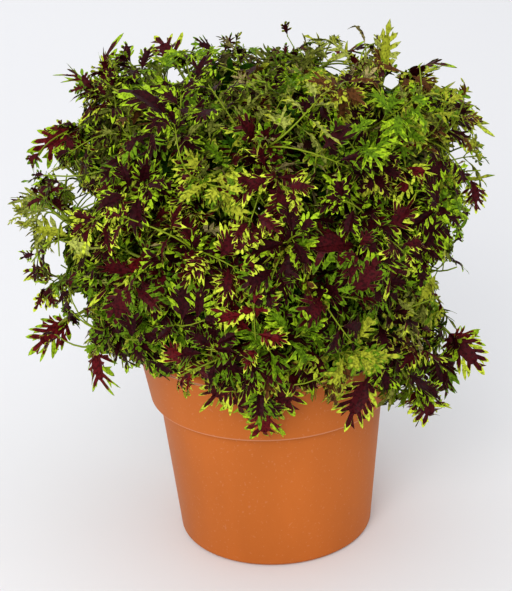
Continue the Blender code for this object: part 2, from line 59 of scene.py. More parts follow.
POT_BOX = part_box("pot")
BODY = "root"
FOLIAGE_NODES = sorted(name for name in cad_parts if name.startswith("foliage_"))
BOUGH_NODES = sorted(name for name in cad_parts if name.startswith("bough_"))

UP = Vector((0.0, 0.0, 1.0))
# The gap between pieces that touch on the real plant
SEAT_GAP = 0.0003

# Pot
RIM_MOUTH_RADIUS = 0.119
LIP_HEIGHT = 0.009
RIM_LINE = 0.0008
RIM_LINE_RISE = 0.0002
EDGE = 0.0012
FOOT_ROUNDING = 0.004
BAND_FOOT_HEIGHT = 0.147
BAND_FOOT_RADIUS = 0.1176
BODY_TOP_RADIUS = 0.1096
FOOT_RADIUS = 0.0957
WALL = 0.003
DRAIN_HOLES = 5
DRAIN_HOLE_RADIUS = 0.0045
DRAIN_RING_RADIUS = 0.066
DRILL_SIDES = 24
# Where the wall turns out under the band: how far in and how far down the turn starts, and its rounding
CROOK_INSET = 0.0006
CROOK_DROP = 0.004
CROOK_ROUNDING = 0.0008
# The band's top edge: steps in from the rim and down from the foot of the lip
BAND_TOP_STEPS = ((0.0003, 0.0012), (0.0, 0.0004), (0.0004, 0.0))
MOUTH_ROUNDING = 0.0004
SHELF_ROUNDING = 0.0006
FOOT_ARC_STEPS = 8
BAND_ARC_STEPS = 6
LIP_ARC_STEPS = 12
POT_CREASE = math.radians(50)
# The pale lines of painted highlight along the band's foot and at the foot of the lip, whose pale colour the
# specks share: how much of the way to white, how far above the band's foot the line there is, and how far
# each line fades
HIGHLIGHT_AND_SPECK_PALENESS = 0.42
BAND_HIGHLIGHT_RISE = 0.0006
HIGHLIGHT_REACH = 0.0016

# Compost
COMPOST_HEIGHT = 0.190
COMPOST_DISH = 0.003
COMPOST_SHOULDER_RADIUS = 0.075
STEM_SEAT_RADIUS = 0.022
COMPOST_RINGS = 60
COMPOST_SIDES = 180
COMPOST_SINK = 0.0004
COMPOST_HEART_RADIUS = 0.004
# How much wider the pot gets for each unit of height, and the share of the fill's radius at its underside
BAND_FLARE = 0.03
COMPOST_UNDER_SHARE = 0.985
CRUMB_HEIGHT = 0.0009
LUMP_HEIGHT = 0.0012
LUMP_SINK = 0.0006
# The lumps' pattern: waves outwards and round the fill, each bent by the other
LUMP_WAVES_OUT = 260
LUMP_WAVES_ROUND = 23
LUMP_SWAY = 3
LUMP_SWAY_TURNS = 5
LUMP_SPIRAL = 90
# How far from the stem's foot and from its seat the crumbs begin and are at their full height
SMOOTH_MARGIN = 0.002
CRUMB_MARGIN = 0.008

# Crown: a round drum with soft edges, which the leaf tips reach
CROWN_CENTRE = Vector((-0.010, 0.0, 0.310))
CROWN_RADIUS = 0.216
CROWN_RISE = 0.175
CROWN_DROP = 0.180
CROWN_POWER = 4.4
CROWN_TILT = Vector((0.05, -0.05, 0.0))
# How much higher the crown's underside is at the front, where the pot's rim shows
FRONT_LIFT = 0.082
LIFT_BEARING = math.radians(-115)
# Where the outline stands out or draws in: bearing from +X, height, change of radius, spread in height
OUTLINE_SWELLS = (
    (math.radians(180), 0.345, 0.014, 0.050),
    (math.radians(185), 0.436, -0.056, 0.025),
    (math.radians(200), 0.158, -0.070, 0.036),
    (math.radians(-5), 0.245, -0.028, 0.036),
    (math.radians(-20), 0.150, 0.030, 0.028),
    (math.radians(5), 0.390, 0.010, 0.040),
)
SWELL_BREADTH = 1.6
# Sprays that stand out of the crown: the points that their leaf tips reach
SPRAY_TIPS = (
    (0.121, 0.030, 0.497),
    (0.060, 0.050, 0.487),
    (-0.136, 0.030, 0.491),
    (-0.172, 0.000, 0.475),
    (0.172, 0.010, 0.466),
    (0.195, 0.000, 0.436),
    (0.214, 0.000, 0.399),
    (-0.207, -0.020, 0.399),
    (-0.226, -0.040, 0.211),
    (-0.222, -0.030, 0.335),
    (-0.158, -0.060, 0.173),
    (-0.059, -0.145, 0.198),
    (-0.007, -0.145, 0.157),
    (0.064, -0.145, 0.171),
    (-0.032, -0.150, 0.186),
    (0.020, -0.150, 0.188),
    (0.204, -0.045, 0.170),
    (0.155, -0.080, 0.137),
    (-0.100, 0.170, 0.462),
    (0.110, 0.180, 0.440),
    (0.150, 0.160, 0.330),
    (-0.140, 0.180, 0.290),
    (0.040, 0.220, 0.230),
)
SPRAY_LEAF = 0.052
# The entry of TWIG_STARTS that a spray's twig leaves by
SPRAY_START = 1

# Main stem
STEM_TOP = 0.305
STEM_FOOT_RADIUS = 0.0125
STEM_RADIUS = 0.0080
STEM_TIP_RADIUS = 0.0042
STEM_FLARE_HEIGHT = 0.008
STEM_STATIONS = 4
STEM_FINE_STATIONS = 40
STEM_LEAN = Vector((0.004, -0.003, 0.0))
# The stems' ribs: points round a stem, its mean radius beside its full one, how far ribs and hollows are
# from the mean, how much a joint swells and how sharply, and the distance between joints
RIB_SIDES = 20
RIB_MEAN = 0.93
RIB_DEPTH = 0.07
JOINT_SWELL = 0.10
JOINT_SHARPNESS = 12
STEM_JOINT_STEP = 0.022
BOUGH_JOINT_STEP = 0.016

# Boughs and the masses they carry, in a low, a middle and an upper ring: count, first bearing, the masses'
# distance from the axis and height, and the two heights on the main stem that the boughs take in turn
RINGS = (
    (8, 0.00, 0.160, 0.226, 0.205, 0.219),
    (8, 0.39, 0.154, 0.325, 0.238, 0.252),
    (7, 0.25, 0.130, 0.425, 0.270, 0.285),
)
CROWN_TIP_HEIGHT = 0.435
BOUGH_RADIUS = 0.0036
BOUGH_TIP_RADIUS = 0.0026
BOUGH_RISE = math.radians(22)
BOUGH_REACH = 0.58
BOUGH_LIFT = 0.008
# How far a bough keeps to its first direction, as a share of its length
BOUGH_LEAD = 0.5
BOUGH_STATIONS = 5
BOUGH_FINENESS = 4
BOUGH_SIDES = 4
SEATING_ROUNDS = 8

# Twigs, and the stems that carry them inside each mass
MASS_STEM_LEAD = 0.45
MASS_STEM_SIDES = 6
TWIGS_PER_MASS = 4
TWIG_RADIUS = 0.0019
TWIG_TIP_RADIUS = 0.0013
TWIG_SIDES = 5
TWIG_STATIONS = 9
# A twig's clearance from limbs and pot, and the points of a coarse twig that are tested for it
TWIG_CLEARANCE = 0.004
TWIG_CHECK_STATIONS = 3
TWIG_CHECKS = (0.25, 0.5, 0.75, 1.0)
# The stations of its mass's stem that the twigs leave from in turn, and a twig's curve: where it bends, how
# far it keeps forwards there and how far it sags, as shares of its reach
TWIG_STARTS = (5, 7, 8, 6)
TWIG_BEND = 0.45
TWIG_LEAD = 0.12
TWIG_SAG = 0.06
TARGET_TRIES = 24
TARGET_SEARCH = 0.11
TARGET_DEPTHS = (0.70, 0.84)
TARGET_MARGIN = 0.008
TARGET_POT_GAP = 0.012
# The corners of each mass's core take the first draws of its seed
CORE_CORNERS = 42
SEED = 20

# Side shoots, which carry the twigs' growth on to the crown's outside
SHOOT_DEPTHS = (0.60, 0.95)
SHOOT_MARGIN = 0.003
SHOOT_POT_GAP = 0.005
SHOOT_DRAWS = 3500
SHOOT_MOST = 140
# How much wider apart the shoots stand at the crown's outside than inside it
FRINGE_SPREAD = 2.1
SHOOT_RADIUS = 0.0011
SHOOT_TIP_RADIUS = 0.0006
SHOOT_SIDES = 4
SHOOT_STATIONS = 7
SHOOT_LEAST = 0.018
# How much longer a way seems, as a share, where the shoot would have to turn sharply off its parent
SHOOT_TURN_COST = 0.35
# A shoot's curve, as shares of its reach: how far it keeps forwards, turns outwards and sags
SHOOT_LEAD = 0.45
SHOOT_OUTWARD = 0.10
SHOOT_SAG = 0.04
# A leaf's stalk is a little thinner at the leaf than at its shoot
PETIOLE_RADIUS = 0.0007
PETIOLE_TAPER = 0.8
PETIOLE_SIDES = 3

# Camera: pitch down, roll and yaw in degrees, its place, and its focal length over the image's long side
CAMERA_TURNS = (22.534, -2.651, -0.449)
CAMERA_PLACE = Vector((0.0, -1.3262, 0.7927))
CAMERA_FOCUS = 1500 / 591
SENSOR = 36.0
CLIP_RANGE = (0.05, 50.0)

# Stage: the floor, and each light's place and target, size and tint
FLOOR_RADIUS = 9.0
FLOOR_SIDES = 96
FLOOR_GAP = 0.0004
KEY_PLACE = ((-0.6, -2.15, 1.5), (0.0, 0.0, 0.25))
KEY_SIZE = 1.5
KEY_TINT = (1.0, 0.99, 0.97)
BACK_PLACE = ((-1.2, 2.6, 2.4), (-0.6, 2.2, 0.0))
BACK_SIZE = 2.2
BACK_TINT = (1.0, 1.0, 1.0)
SKY_TINT = (0.98, 0.99, 1.0)


# Small helpers for meshes


def mesh_of(name, points, faces):
    """A mesh of triangles from arrays of points and corner numbers."""
    points = np.asarray(points, np.float32)
    faces = np.asarray(faces, np.int32)
    mesh = bpy.data.meshes.new(name)
    mesh.vertices.add(len(points))
    mesh.vertices.foreach_set("co", points.ravel())
    mesh.loops.add(faces.size)
    mesh.loops.foreach_set("vertex_index", faces.ravel())
    mesh.polygons.add(len(faces))
    mesh.polygons.foreach_set("loop_start", np.arange(0, faces.size, 3, dtype=np.int32))
    mesh.update(calc_edges=True)
    mesh.validate()
    return mesh


def add_piece(name, mesh, surface, slot, *nodes):
    """A finished piece that stands for the CAD nodes it is given."""
    mesh.materials.append(surface)
    obj = bpy.data.objects.new(name, mesh)
    bpy.context.scene.collection.objects.link(obj)
    mesh.shade_smooth()
    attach(obj, BODY)
    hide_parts(*nodes)
    return obj


def turned_mesh(name, profile, sides):
    """A solid of revolution about Z, whose (radius, height) profile runs from the axis to the axis."""
    bm = bmesh.new()
    corners = [bm.verts.new((radius, 0.0, height)) for radius, height in profile]
    edges = [bm.edges.new(pair) for pair in zip(corners, corners[1:])]
    bmesh.ops.spin(bm, geom=corners + edges, cent=(0, 0, 0), axis=(0, 0, 1), angle=math.tau, steps=sides)
    bmesh.ops.remove_doubles(bm, verts=bm.verts, dist=1e-6)
    bmesh.ops.recalc_face_normals(bm, faces=bm.faces)
    mesh = bpy.data.meshes.new(name)
    bm.to_mesh(mesh)
    bm.free()
    return mesh


# Materials


def new_material(name, colour, roughness, specular):
    """A Principled material; its even values are set on the shader's own sockets."""
    made = bpy.data.materials.new(name)
    made.use_nodes = True
    shader = made.node_tree.nodes["Principled BSDF"]
    shader.inputs["Base Color"].default_value = (*colour, 1.0)
    shader.inputs["Roughness"].default_value = roughness
    shader.inputs["Specular IOR Level"].default_value = specular
    return made, made.node_tree, shader


def noise_value(tree, scale, detail, stretch=(1.0, 1.0, 1.0)):
    """Noise in the object's own place, stretched along its axes."""
    place = tree.nodes.new("ShaderNodeTexCoord")
    mapping = tree.nodes.new("ShaderNodeMapping")
    mapping.inputs["Scale"].default_value = stretch
    noise = tree.nodes.new("ShaderNodeTexNoise")
    noise.inputs["Scale"].default_value = scale
    noise.inputs["Detail"].default_value = detail
    tree.links.new(place.outputs["Object"], mapping.inputs["Vector"])
    tree.links.new(mapping.outputs["Vector"], noise.inputs["Vector"])
    return noise.outputs["Fac"]


def sum_of(tree, operation, source, number=0.0):
    """One sum on a value."""
    step = tree.nodes.new("ShaderNodeMath")
    step.operation = operation
    step.inputs[1].default_value = number
    tree.links.new(source, step.inputs[0])
    return step.outputs["Value"]


def mapped(tree, source, start, end, first=0.0, last=1.0, way="SMOOTHSTEP"):
    """A value that goes from first to last while the source goes from start to end."""
    step = tree.nodes.new("ShaderNodeMapRange")
    step.interpolation_type = way
    for name, value in (("From Min", start), ("From Max", end), ("To Min", first), ("To Max", last)):
        step.inputs[name].default_value = value
    tree.links.new(source, step.inputs["Value"])
    return step.outputs["Result"]


def line_at(tree, height, reach):
    """A value that is 1 at a height on the object and fades out a reach above and below it."""
    place = tree.nodes.new("ShaderNodeTexCoord")
    parts = tree.nodes.new("ShaderNodeSeparateXYZ")
    tree.links.new(place.outputs["Object"], parts.inputs["Vector"])
    away = sum_of(tree, "ABSOLUTE", sum_of(tree, "SUBTRACT", parts.outputs["Z"], height))
    return mapped(tree, away, reach, 0.0)


def add_bump(tree, shader, height, strength, distance):
    """Relief from a value that stands for height."""
    bump = tree.nodes.new("ShaderNodeBump")
    bump.inputs["Strength"].default_value = strength
    bump.inputs["Distance"].default_value = distance
    tree.links.new(height, bump.inputs["Height"])
    tree.links.new(bump.outputs["Normal"], shader.inputs["Normal"])


def vary_roughness(tree, shader, source, least, most, start=0.3, end=0.7):
    """Roughness from its least to its most while a noise value goes from start to end."""
    tree.links.new(mapped(tree, source, start, end, least, most, "LINEAR"), shader.inputs["Roughness"])


def vary_colour(tree, shader, source, first, second, start=0.35, end=0.65):
    """Colour from the first to the second while a noise value goes from start to end."""
    ramp = tree.nodes.new("ShaderNodeValToRGB")
    for element, place, colour in zip(ramp.color_ramp.elements, (start, end), (first, second)):
        element.position = place
        element.color = (*colour, 1.0)
    tree.links.new(source, ramp.inputs["Fac"])
    tree.links.new(ramp.outputs["Color"], shader.inputs["Base Color"])


def lay_over(tree, shader, colour, where, share):
    """Lays a share of another colour over the base colour, where a value is 1."""
    base = shader.inputs["Base Color"].links[0].from_socket
    mix = tree.nodes.new("ShaderNodeMix")
    mix.data_type = "RGBA"
    mix.inputs["B"].default_value = (*colour, 1.0)
    tree.links.new(sum_of(tree, "MULTIPLY", where, share), mix.inputs["Factor"])
    tree.links.new(base, mix.inputs["A"])
    tree.links.new(mix.outputs["Result"], shader.inputs["Base Color"])


def shade(colour, factor):
    """A darker or brighter shade of a colour."""
    return tuple(min(1.0, channel * factor) for channel in colour)


def pot_plastic(colour):
    """Matte moulded plastic: faint cloudy patches, pale specks, a fine grain, and pale lines of painted
    highlight at the band's foot and the lip's foot.
    """
    made, tree, shader = new_material("pot_plastic", colour, roughness=0.5, specular=0.16)
    clouds = noise_value(tree, scale=14.0, detail=4.0, stretch=(1.0, 1.0, 0.35))
    specks = noise_value(tree, scale=380.0, detail=1.0)
    grain = noise_value(tree, scale=900.0, detail=2.0)
    vary_colour(tree, shader, clouds, shade(colour, 0.93), shade(colour, 1.07))
    # One pale colour serves the painted highlight lines and the real pale specks
    highlight_and_speck_colour = tuple(channel + HIGHLIGHT_AND_SPECK_PALENESS * (1.0 - channel) for channel in colour)
    # Painted highlights: pale lines just above the band's foot and at the foot of the lip
    band_foot_highlight = line_at(tree, BAND_FOOT_HEIGHT + BAND_HIGHLIGHT_RISE, HIGHLIGHT_REACH)
    lip_foot = line_at(tree, POT_BOX[1].z - LIP_HEIGHT, HIGHLIGHT_REACH)
    lay_over(tree, shader, highlight_and_speck_colour, band_foot_highlight, share=0.26)
    lay_over(tree, shader, highlight_and_speck_colour, lip_foot, share=0.40)
    lay_over(tree, shader, highlight_and_speck_colour, mapped(tree, specks, start=0.64, end=0.74), share=0.09)
    vary_roughness(tree, shader, clouds, least=0.42, most=0.52)
    add_bump(tree, shader, grain, strength=0.10, distance=0.0004)
    return made


def compost_crumbs(colour):
    """Damp, crumbly peat: dark and pale lumps, all of them dull."""
    made, tree, shader = new_material("compost_crumbs", colour, roughness=0.95, specular=0.2)
    lumps = noise_value(tree, scale=160.0, detail=6.0)
    vary_colour(tree, shader, lumps, shade(colour, 0.5), shade(colour, 2.2))
    vary_roughness(tree, shader, lumps, least=0.85, most=1.0)
    add_bump(tree, shader, lumps, strength=0.8, distance=0.002)
    return made


def green_stem(name, colour):
    """Fleshy stem: fine ribs along it and a waxy gloss."""
    made, tree, shader = new_material(name, colour, roughness=0.45, specular=0.22)
    ribs = noise_value(tree, scale=420.0, detail=3.0, stretch=(1.0, 1.0, 0.25))
    patches = noise_value(tree, scale=40.0, detail=2.0)
    vary_roughness(tree, shader, patches, least=0.38, most=0.55)
    add_bump(tree, shader, ribs, strength=0.25, distance=0.0006)
    return made


# The least and most roughness of a leaf's upper side and of its underside
LEAF_ROUGHNESS = (0.42, 0.70)
UNDER_ROUGHNESS = (0.55, 0.70)
# Colours darker than this look like velvet and catch a little more light
VELVET_LIMIT = 0.1
VELVET_SPECULAR = 0.12
LEAF_SPECULAR = 0.09
# The shades of a leaf's flecks beside its own colour, and the noise values that they stand for
FLECK_SHADES = (0.52, 1.2)
FLECK_MARKS = (0.38, 0.56)


def leaf_skin(name, colour, least, most):
    """Soft leaf skin: fine flecks of a darker shade, puckers between veins, and an uneven satin gloss."""
    specular = VELVET_SPECULAR if max(colour) < VELVET_LIMIT else LEAF_SPECULAR
    made, tree, shader = new_material(name, colour, (least + most) / 2, specular)
    flecks = noise_value(tree, scale=420.0, detail=2.0)
    puckers = noise_value(tree, scale=330.0, detail=3.0)
    dark, bright = (shade(colour, factor) for factor in FLECK_SHADES)
    vary_colour(tree, shader, flecks, dark, bright, *FLECK_MARKS)
    vary_roughness(tree, shader, puckers, least, most)
    add_bump(tree, shader, puckers, strength=0.5, distance=0.0010)
    return made


# Limbs: the main stem, its boughs, and the masses that they carry


def curve_points(start, control, end, stations):
    """Points along a quadratic curve."""
    shares = [k / (stations - 1) for k in range(stations)]
    return [start * (1 - t) ** 2 + control * 2 * t * (1 - t) + end * t**2 for t in shares]


def spread_over(corners, steps=4):
    """Points spread evenly over a triangle, its corners and edges included."""
    first, second, third = corners
    found = []
    for i in range(steps + 1):
        for j in range(steps + 1 - i):
            found.append(first + (second - first) * (i / steps) + (third - first) * (j / steps))
    return found


def tangents_of(path):
    """A path's direction at each of its points."""
    steps = [(b - a).normalized() for a, b in zip(path, path[1:])]
    middles = [(a + b).normalized() for a, b in zip(steps, steps[1:])]
    return [steps[0]] + middles + [steps[-1]]


def tube(path, ring_at):
    """Points and triangles of a closed tube. ring_at(station) gives its ring's (angle, radius) pairs."""
    points, faces = [], []
    tangents = tangents_of(path)
    side = tangents[0].orthogonal().normalized()
    sides = len(ring_at(0))
    for station, (centre, tangent) in enumerate(zip(path, tangents)):
        side = (side - tangent * side.dot(tangent)).normalized()
        across = tangent.cross(side)
        for angle, radius in ring_at(station):
            points.append(centre + (side * math.cos(angle) + across * math.sin(angle)) * radius)
    for ring in range(len(path) - 1):
        first, second = ring * sides, (ring + 1) * sides
        for k in range(sides):
            after = (k + 1) % sides
            faces.append((first + k, first + after, second + after))
            faces.append((first + k, second + after, second + k))
    last = (len(path) - 1) * sides
    for k in range(1, sides - 1):
        faces.append((0, k + 1, k))
        faces.append((last, last + k, last + k + 1))
    return points, faces


def plain_tube(path, first, last, sides):
    """A tube that tapers evenly from its first radius to its last."""
    turns = [math.tau * k / sides for k in range(sides)]
    radii = [first + (last - first) * k / (len(path) - 1) for k in range(len(path))]
    return tube(path, lambda station: [(turn, radii[station]) for turn in turns])


def stem_point(height):
    """The middle of the main stem at a height."""
    share = (height - COMPOST_HEIGHT) / (STEM_TOP - COMPOST_HEIGHT)
    return Vector((0.0, 0.0, height)) + STEM_LEAN * share**2


def stem_radius(height):
    """The main stem's radius at a height: flared at the compost, then an even taper."""
    heights = [COMPOST_HEIGHT, COMPOST_HEIGHT + STEM_FLARE_HEIGHT, STEM_TOP]
    return float(np.interp(height, heights, [STEM_FOOT_RADIUS, STEM_RADIUS, STEM_TIP_RADIUS]))


def main_stem_path(stations=STEM_STATIONS):
    """The main stem's middle line: its foot, then even steps from the top of its flare."""
    foot = COMPOST_HEIGHT + SEAT_GAP
    flare = foot + STEM_FLARE_HEIGHT
    steps = [flare + (STEM_TOP - flare) * k / (stations - 1) for k in range(stations)]
    return [stem_point(height) for height in [foot] + steps]


def main_stem_shape():
    """The stem's plain shape, a square with its corners cut off, which the boughs are seated on."""
    path = main_stem_path()
    radii = [STEM_FOOT_RADIUS] + [stem_radius(p.z) for p in path[1:]]
    turns = [math.radians(90 * quarter + turn) for quarter in range(4) for turn in (30, 60)]
    return tube(path, lambda station: [(turn, radii[station]) for turn in turns])


class Mass:
    """One mass of foliage: the point it is nearest to, the bough that carries it, as a coarse and as a fine
    path, and where and in which direction its own stem starts."""

    def __init__(self, site, stem_start, stem_aim, bough=None, fine_bough=None):
        self.site = site
        self.stem_start = stem_start
        self.stem_aim = stem_aim
        self.bough = bough
        self.fine_bough = fine_bough

    def stem_path(self):
        """The stem inside the mass, from its bough's end to its site."""
        reach = (self.site - self.stem_start).length
        control = self.stem_start + self.stem_aim * MASS_STEM_LEAD * reach
        return curve_points(self.stem_start, control, self.site, TWIG_STATIONS)


def bough_path(bearing, height, site, away, stations=BOUGH_STATIONS):
    """From a distance off the main stem's middle, out and up towards a mass's site."""
    out = Vector((math.cos(bearing), math.sin(bearing), 0.0))
    aim = out * math.cos(BOUGH_RISE) + Vector((0.0, 0.0, math.sin(BOUGH_RISE)))
    start = stem_point(height) + out * away
    end = start.lerp(site, BOUGH_REACH) + Vector((0.0, 0.0, BOUGH_LIFT))
    return curve_points(start, start + aim * BOUGH_LEAD * (end - start).length, end, stations)


def seated_bough(main_stem, bearing, height, site):
    """How far out from the stem's middle a bough starts, so that its end is the seat gap off the stem."""
    away = 2 * STEM_RADIUS
    for _ in range(SEATING_ROUNDS):
        path = bough_path(bearing, height, site, away)
        ring = plain_tube(path, BOUGH_RADIUS, BOUGH_TIP_RADIUS, BOUGH_SIDES)[0][:BOUGH_SIDES]
        cap = spread_over(ring[:3]) + spread_over([ring[0], ring[2], ring[3]])
        seated = away
        away -= min(main_stem.find_nearest(p)[3] for p in cap) - SEAT_GAP
    return seated


def plan_masses():
    """Every mass with its bough's path, ring by ring, and the mass on the main stem's tip."""
    masses = []
    main_stem = BVHTree.FromPolygons(*main_stem_shape())
    for count, first, distance, height, low, high in RINGS:
        for k in range(count):
            bearing = first + math.tau * k / count
            site = Vector((math.cos(bearing) * distance, math.sin(bearing) * distance, height))
            site.x += CROWN_CENTRE.x
            if site.z < CROWN_CENTRE.z:
                site.z += (CROWN_CENTRE.z - site.z) * (1.0 - float(crown_drop(bearing)) / CROWN_DROP)
            start = (low, high)[k % 2]
            away = seated_bough(main_stem, bearing, start, site)
            path = bough_path(bearing, start, site, away)
            aim = (path[-1] - path[-2]).normalized()
            fine = bough_path(bearing, start, site, away, BOUGH_FINENESS * BOUGH_STATIONS)
            masses.append(Mass(site, path[-1] + aim * SEAT_GAP, aim, path, fine))
    *_, below, tip = main_stem_path()
    top = Vector((CROWN_CENTRE.x, 0.0, CROWN_TIP_HEIGHT))
    aim = (tip - below).normalized()
    masses.append(Mass(top, tip + aim * SEAT_GAP, aim))
    return masses


# The space that each mass keeps to. The functions take one point or an array of points.


def crown_drop(bearing):
    """How far the crown reaches below its centre at a bearing."""
    return CROWN_DROP - FRONT_LIFT * np.maximum(0.0, np.cos(bearing - LIFT_BEARING))


def crown_depth(points):
    """0 at the crown's heart and 1 on its outline."""
    points = np.asarray(points, float)
    offset = points - np.array(CROWN_CENTRE)
    tall = offset[..., 2] - offset @ np.array(CROWN_TILT)
    bearing = np.arctan2(offset[..., 1], offset[..., 0])
    radius = np.full(bearing.shape, CROWN_RADIUS)
    for direction, level, change, spread in OUTLINE_SWELLS:
        near = np.exp(-(((points[..., 2] - level) / spread) ** 2))
        radius = radius + change * near * np.exp(-SWELL_BREADTH * (1 - np.cos(bearing - direction)))
    flat = np.hypot(offset[..., 0], offset[..., 1]) / radius
    high = np.abs(tall) / np.where(tall > 0, CROWN_RISE, crown_drop(bearing))
    return (flat**CROWN_POWER + high**CROWN_POWER) ** (1 / CROWN_POWER)


def space_left(points, mass, masses):
    """How far each point is inside the space nearest to the mass's site."""
    points = np.asarray(points, float)
    own = ((points - np.array(mass.site)) ** 2).sum(-1)
    least = np.full(own.shape, 1.0)
    for other in masses:
        if other is not mass:
            apart = (other.site - mass.site).length
            gain = ((points - np.array(other.site)) ** 2).sum(-1) - own
            least = np.minimum(least, gain / (2 * apart))
    return least


def clear_of_pot(points, gap):
    """True for each point that is outside the pot and above the compost."""
    points = np.asarray(points, float)
    radius, height = np.hypot(points[..., 0], points[..., 1]), points[..., 2]
    top, wide = POT_BOX[1].z, POT_BOX[1].x
    inner = np.interp(height, [BAND_FOOT_HEIGHT, top], [BAND_FOOT_RADIUS - WALL, RIM_MOUTH_RADIUS])
    heights = [0.0, BAND_FOOT_HEIGHT - SEAT_GAP, BAND_FOOT_HEIGHT, top]
    outer = np.interp(height, heights, [FOOT_RADIUS, BODY_TOP_RADIUS, BAND_FOOT_RADIUS, wide])
    inside = (height > COMPOST_HEIGHT + gap) & (radius < inner - gap)
    return (height > top + gap) | inside | (radius > outer + gap)


class Limbs:
    """The main stem and the boughs as straight pieces, for clearances."""

    def __init__(self, masses):
        runs = [(main_stem_path(), STEM_FOOT_RADIUS)]
        runs += [(mass.bough, BOUGH_RADIUS) for mass in masses if mass.bough]
        pieces = [(a, b, radius) for path, radius in runs for a, b in zip(path, path[1:])]
        self.starts = np.array([a for a, _, _ in pieces])
        self.steps = np.array([b - a for a, b, _ in pieces])
        self.radii = np.array([radius for _, _, radius in pieces])

    def gap(self, points):
        """The least distance from any of the points to a limb's side."""
        offset = np.array(points)[:, None, :] - self.starts[None]
        share = (offset * self.steps).sum(-1) / (self.steps**2).sum(-1)
        nearest = offset - np.clip(share, 0, 1)[..., None] * self.steps
        return float((np.linalg.norm(nearest, axis=-1) - self.radii).min())

    def stands_clear(self, points, clearance):
        """Whether all the points keep a clearance from the limbs and the pot."""
        return self.gap(points) > clearance and bool(clear_of_pot(points, clearance).all())


# Twigs: the growing rule, which picks where the shoots end and runs a twig to each


def twig_path(mass, number, target, stations=TWIG_STATIONS):
    """From inside the mass's stem to a target, leaving the stem forwards and curving up at the end."""
    stem = mass.stem_path()
    start = stem[TWIG_STARTS[number % len(TWIG_STARTS)]]
    forwards = (stem[-1] - stem[-2]).normalized()
    reach = (target - start).length
    control = start.lerp(target, TWIG_BEND) + forwards * TWIG_LEAD * reach - UP * TWIG_SAG * reach
    return curve_points(start, control, target, stations)


def pick_twigs(dice, mass, masses, limbs, count):
    """Ends that spread evenly through the outer part of the mass's space, the best of several draws."""
    ends = []
    while len(ends) < count:
        best, best_score = None, -1.0
        for _ in range(TARGET_TRIES):
            spot = mass.site + Vector([dice.uniform(-TARGET_SEARCH, TARGET_SEARCH) for _ in range(3)])
            if not TARGET_DEPTHS[0] < crown_depth(spot) < TARGET_DEPTHS[1]:
                continue
            if space_left(spot, mass, masses) < TARGET_MARGIN or not clear_of_pot(spot, TARGET_POT_GAP):
                continue
            path = twig_path(mass, len(ends), spot, TWIG_CHECK_STATIONS)
            way = [a.lerp(b, share) for a, b in zip(path, path[1:]) for share in TWIG_CHECKS]
            if not limbs.stands_clear(way, TWIG_CLEARANCE):
                continue
            score = min([(spot - other).length for other in ends] + [TARGET_SEARCH])
            if score > best_score:
                best, best_score = spot, score
        if best:
            ends.append(best)
    return [twig_path(mass, number, end) for number, end in enumerate(ends)]


def carried_by(mass, masses, places):
    """Those of the places that are nearest to this mass, which carries what grows there."""
    spots = [Vector(place) for place in places]
    return [spot for spot in spots if min(masses, key=lambda other: (other.site - spot).length) is mass]


def spray_path(mass, tip):
    """A twig towards a spray's tip, which ends a leaf's length short of it."""
    return twig_path(mass, SPRAY_START, tip - (tip - mass.site).normalized() * SPRAY_LEAF)


def shoot_ends(draws, mass, masses, taken, spacing):
    """The rule again for the side shoots: ends further out, until none is a full spacing from the rest."""
    spots = np.array(mass.site) + draws.uniform(-TARGET_SEARCH, TARGET_SEARCH, (SHOOT_DRAWS, 3))
    depth = crown_depth(spots)
    keep = (SHOOT_DEPTHS[0] < depth) & (depth < SHOOT_DEPTHS[1])
    keep &= (space_left(spots, mass, masses) > SHOOT_MARGIN) & clear_of_pot(spots, SHOOT_POT_GAP)
    spots, depth = spots[keep], depth[keep]
    spread = np.interp(depth, SHOOT_DEPTHS, (1.0, FRINGE_SPREAD))
    gaps = np.min([np.linalg.norm(spots - np.array(end), axis=1) / spread for end in taken], axis=0)
    ends = []
    while len(spots) and gaps.max() > spacing and len(ends) < SHOOT_MOST:
        best = int(gaps.argmax())
        ends.append(Vector(spots[best]))
        gaps = np.minimum(gaps, np.linalg.norm(spots - spots[best], axis=1) / spread)
    return ends


def shoot_path(end, parents):
    """A side shoot: it leaves the nearest parent limb forwards, and curves on to its end."""
    best, best_cost = None, math.inf
    for path in parents:
        for k in range(1, len(path) - 1):
            way = end - path[k]
            forwards = (path[k + 1] - path[k - 1]).normalized()
            turned = 1.0 + SHOOT_TURN_COST - SHOOT_TURN_COST * forwards.dot(way.normalized())
            cost = way.length * turned
            if way.length > SHOOT_LEAST and cost < best_cost:
                best, best_cost = (path[k], forwards), cost
    start, forwards = best
    reach = (end - start).length
    outward = (end - CROWN_CENTRE).normalized()
    control = start + forwards * SHOOT_LEAD * reach
    control += outward * SHOOT_OUTWARD * reach
    control -= UP * SHOOT_SAG * reach
    return curve_points(start, control, end, SHOOT_STATIONS)


# Leaf patterns. A pattern is one leaf of length 1 laid flat along +X, its upper side towards +Z: a blade
# that narrows to its foot, finger lobes side by side along both edges, and a long lobe at the tip. Its
# triangles are kept by zone: the heart, the margin round it, and the underside.

# The blade: its end, and its half width at a few places along it
BLADE_END = 0.70
BLADE_STATIONS = (0.0, 0.14, 0.35, 0.62, BLADE_END)
BLADE_HALF_WIDTHS = (0.012, 0.050, 0.105, 0.095, 0.050)
# How steeply the halves of a blade rise to their edges, how uneven the edges are, and how far the lobes of
# one side may be shifted along it beside those of the other
BLADE_LIFTS = (0.05, 0.55)
EDGE_WIDTHS = (0.85, 1.15)
LOBE_SHIFTS = (-0.3, 0.3)
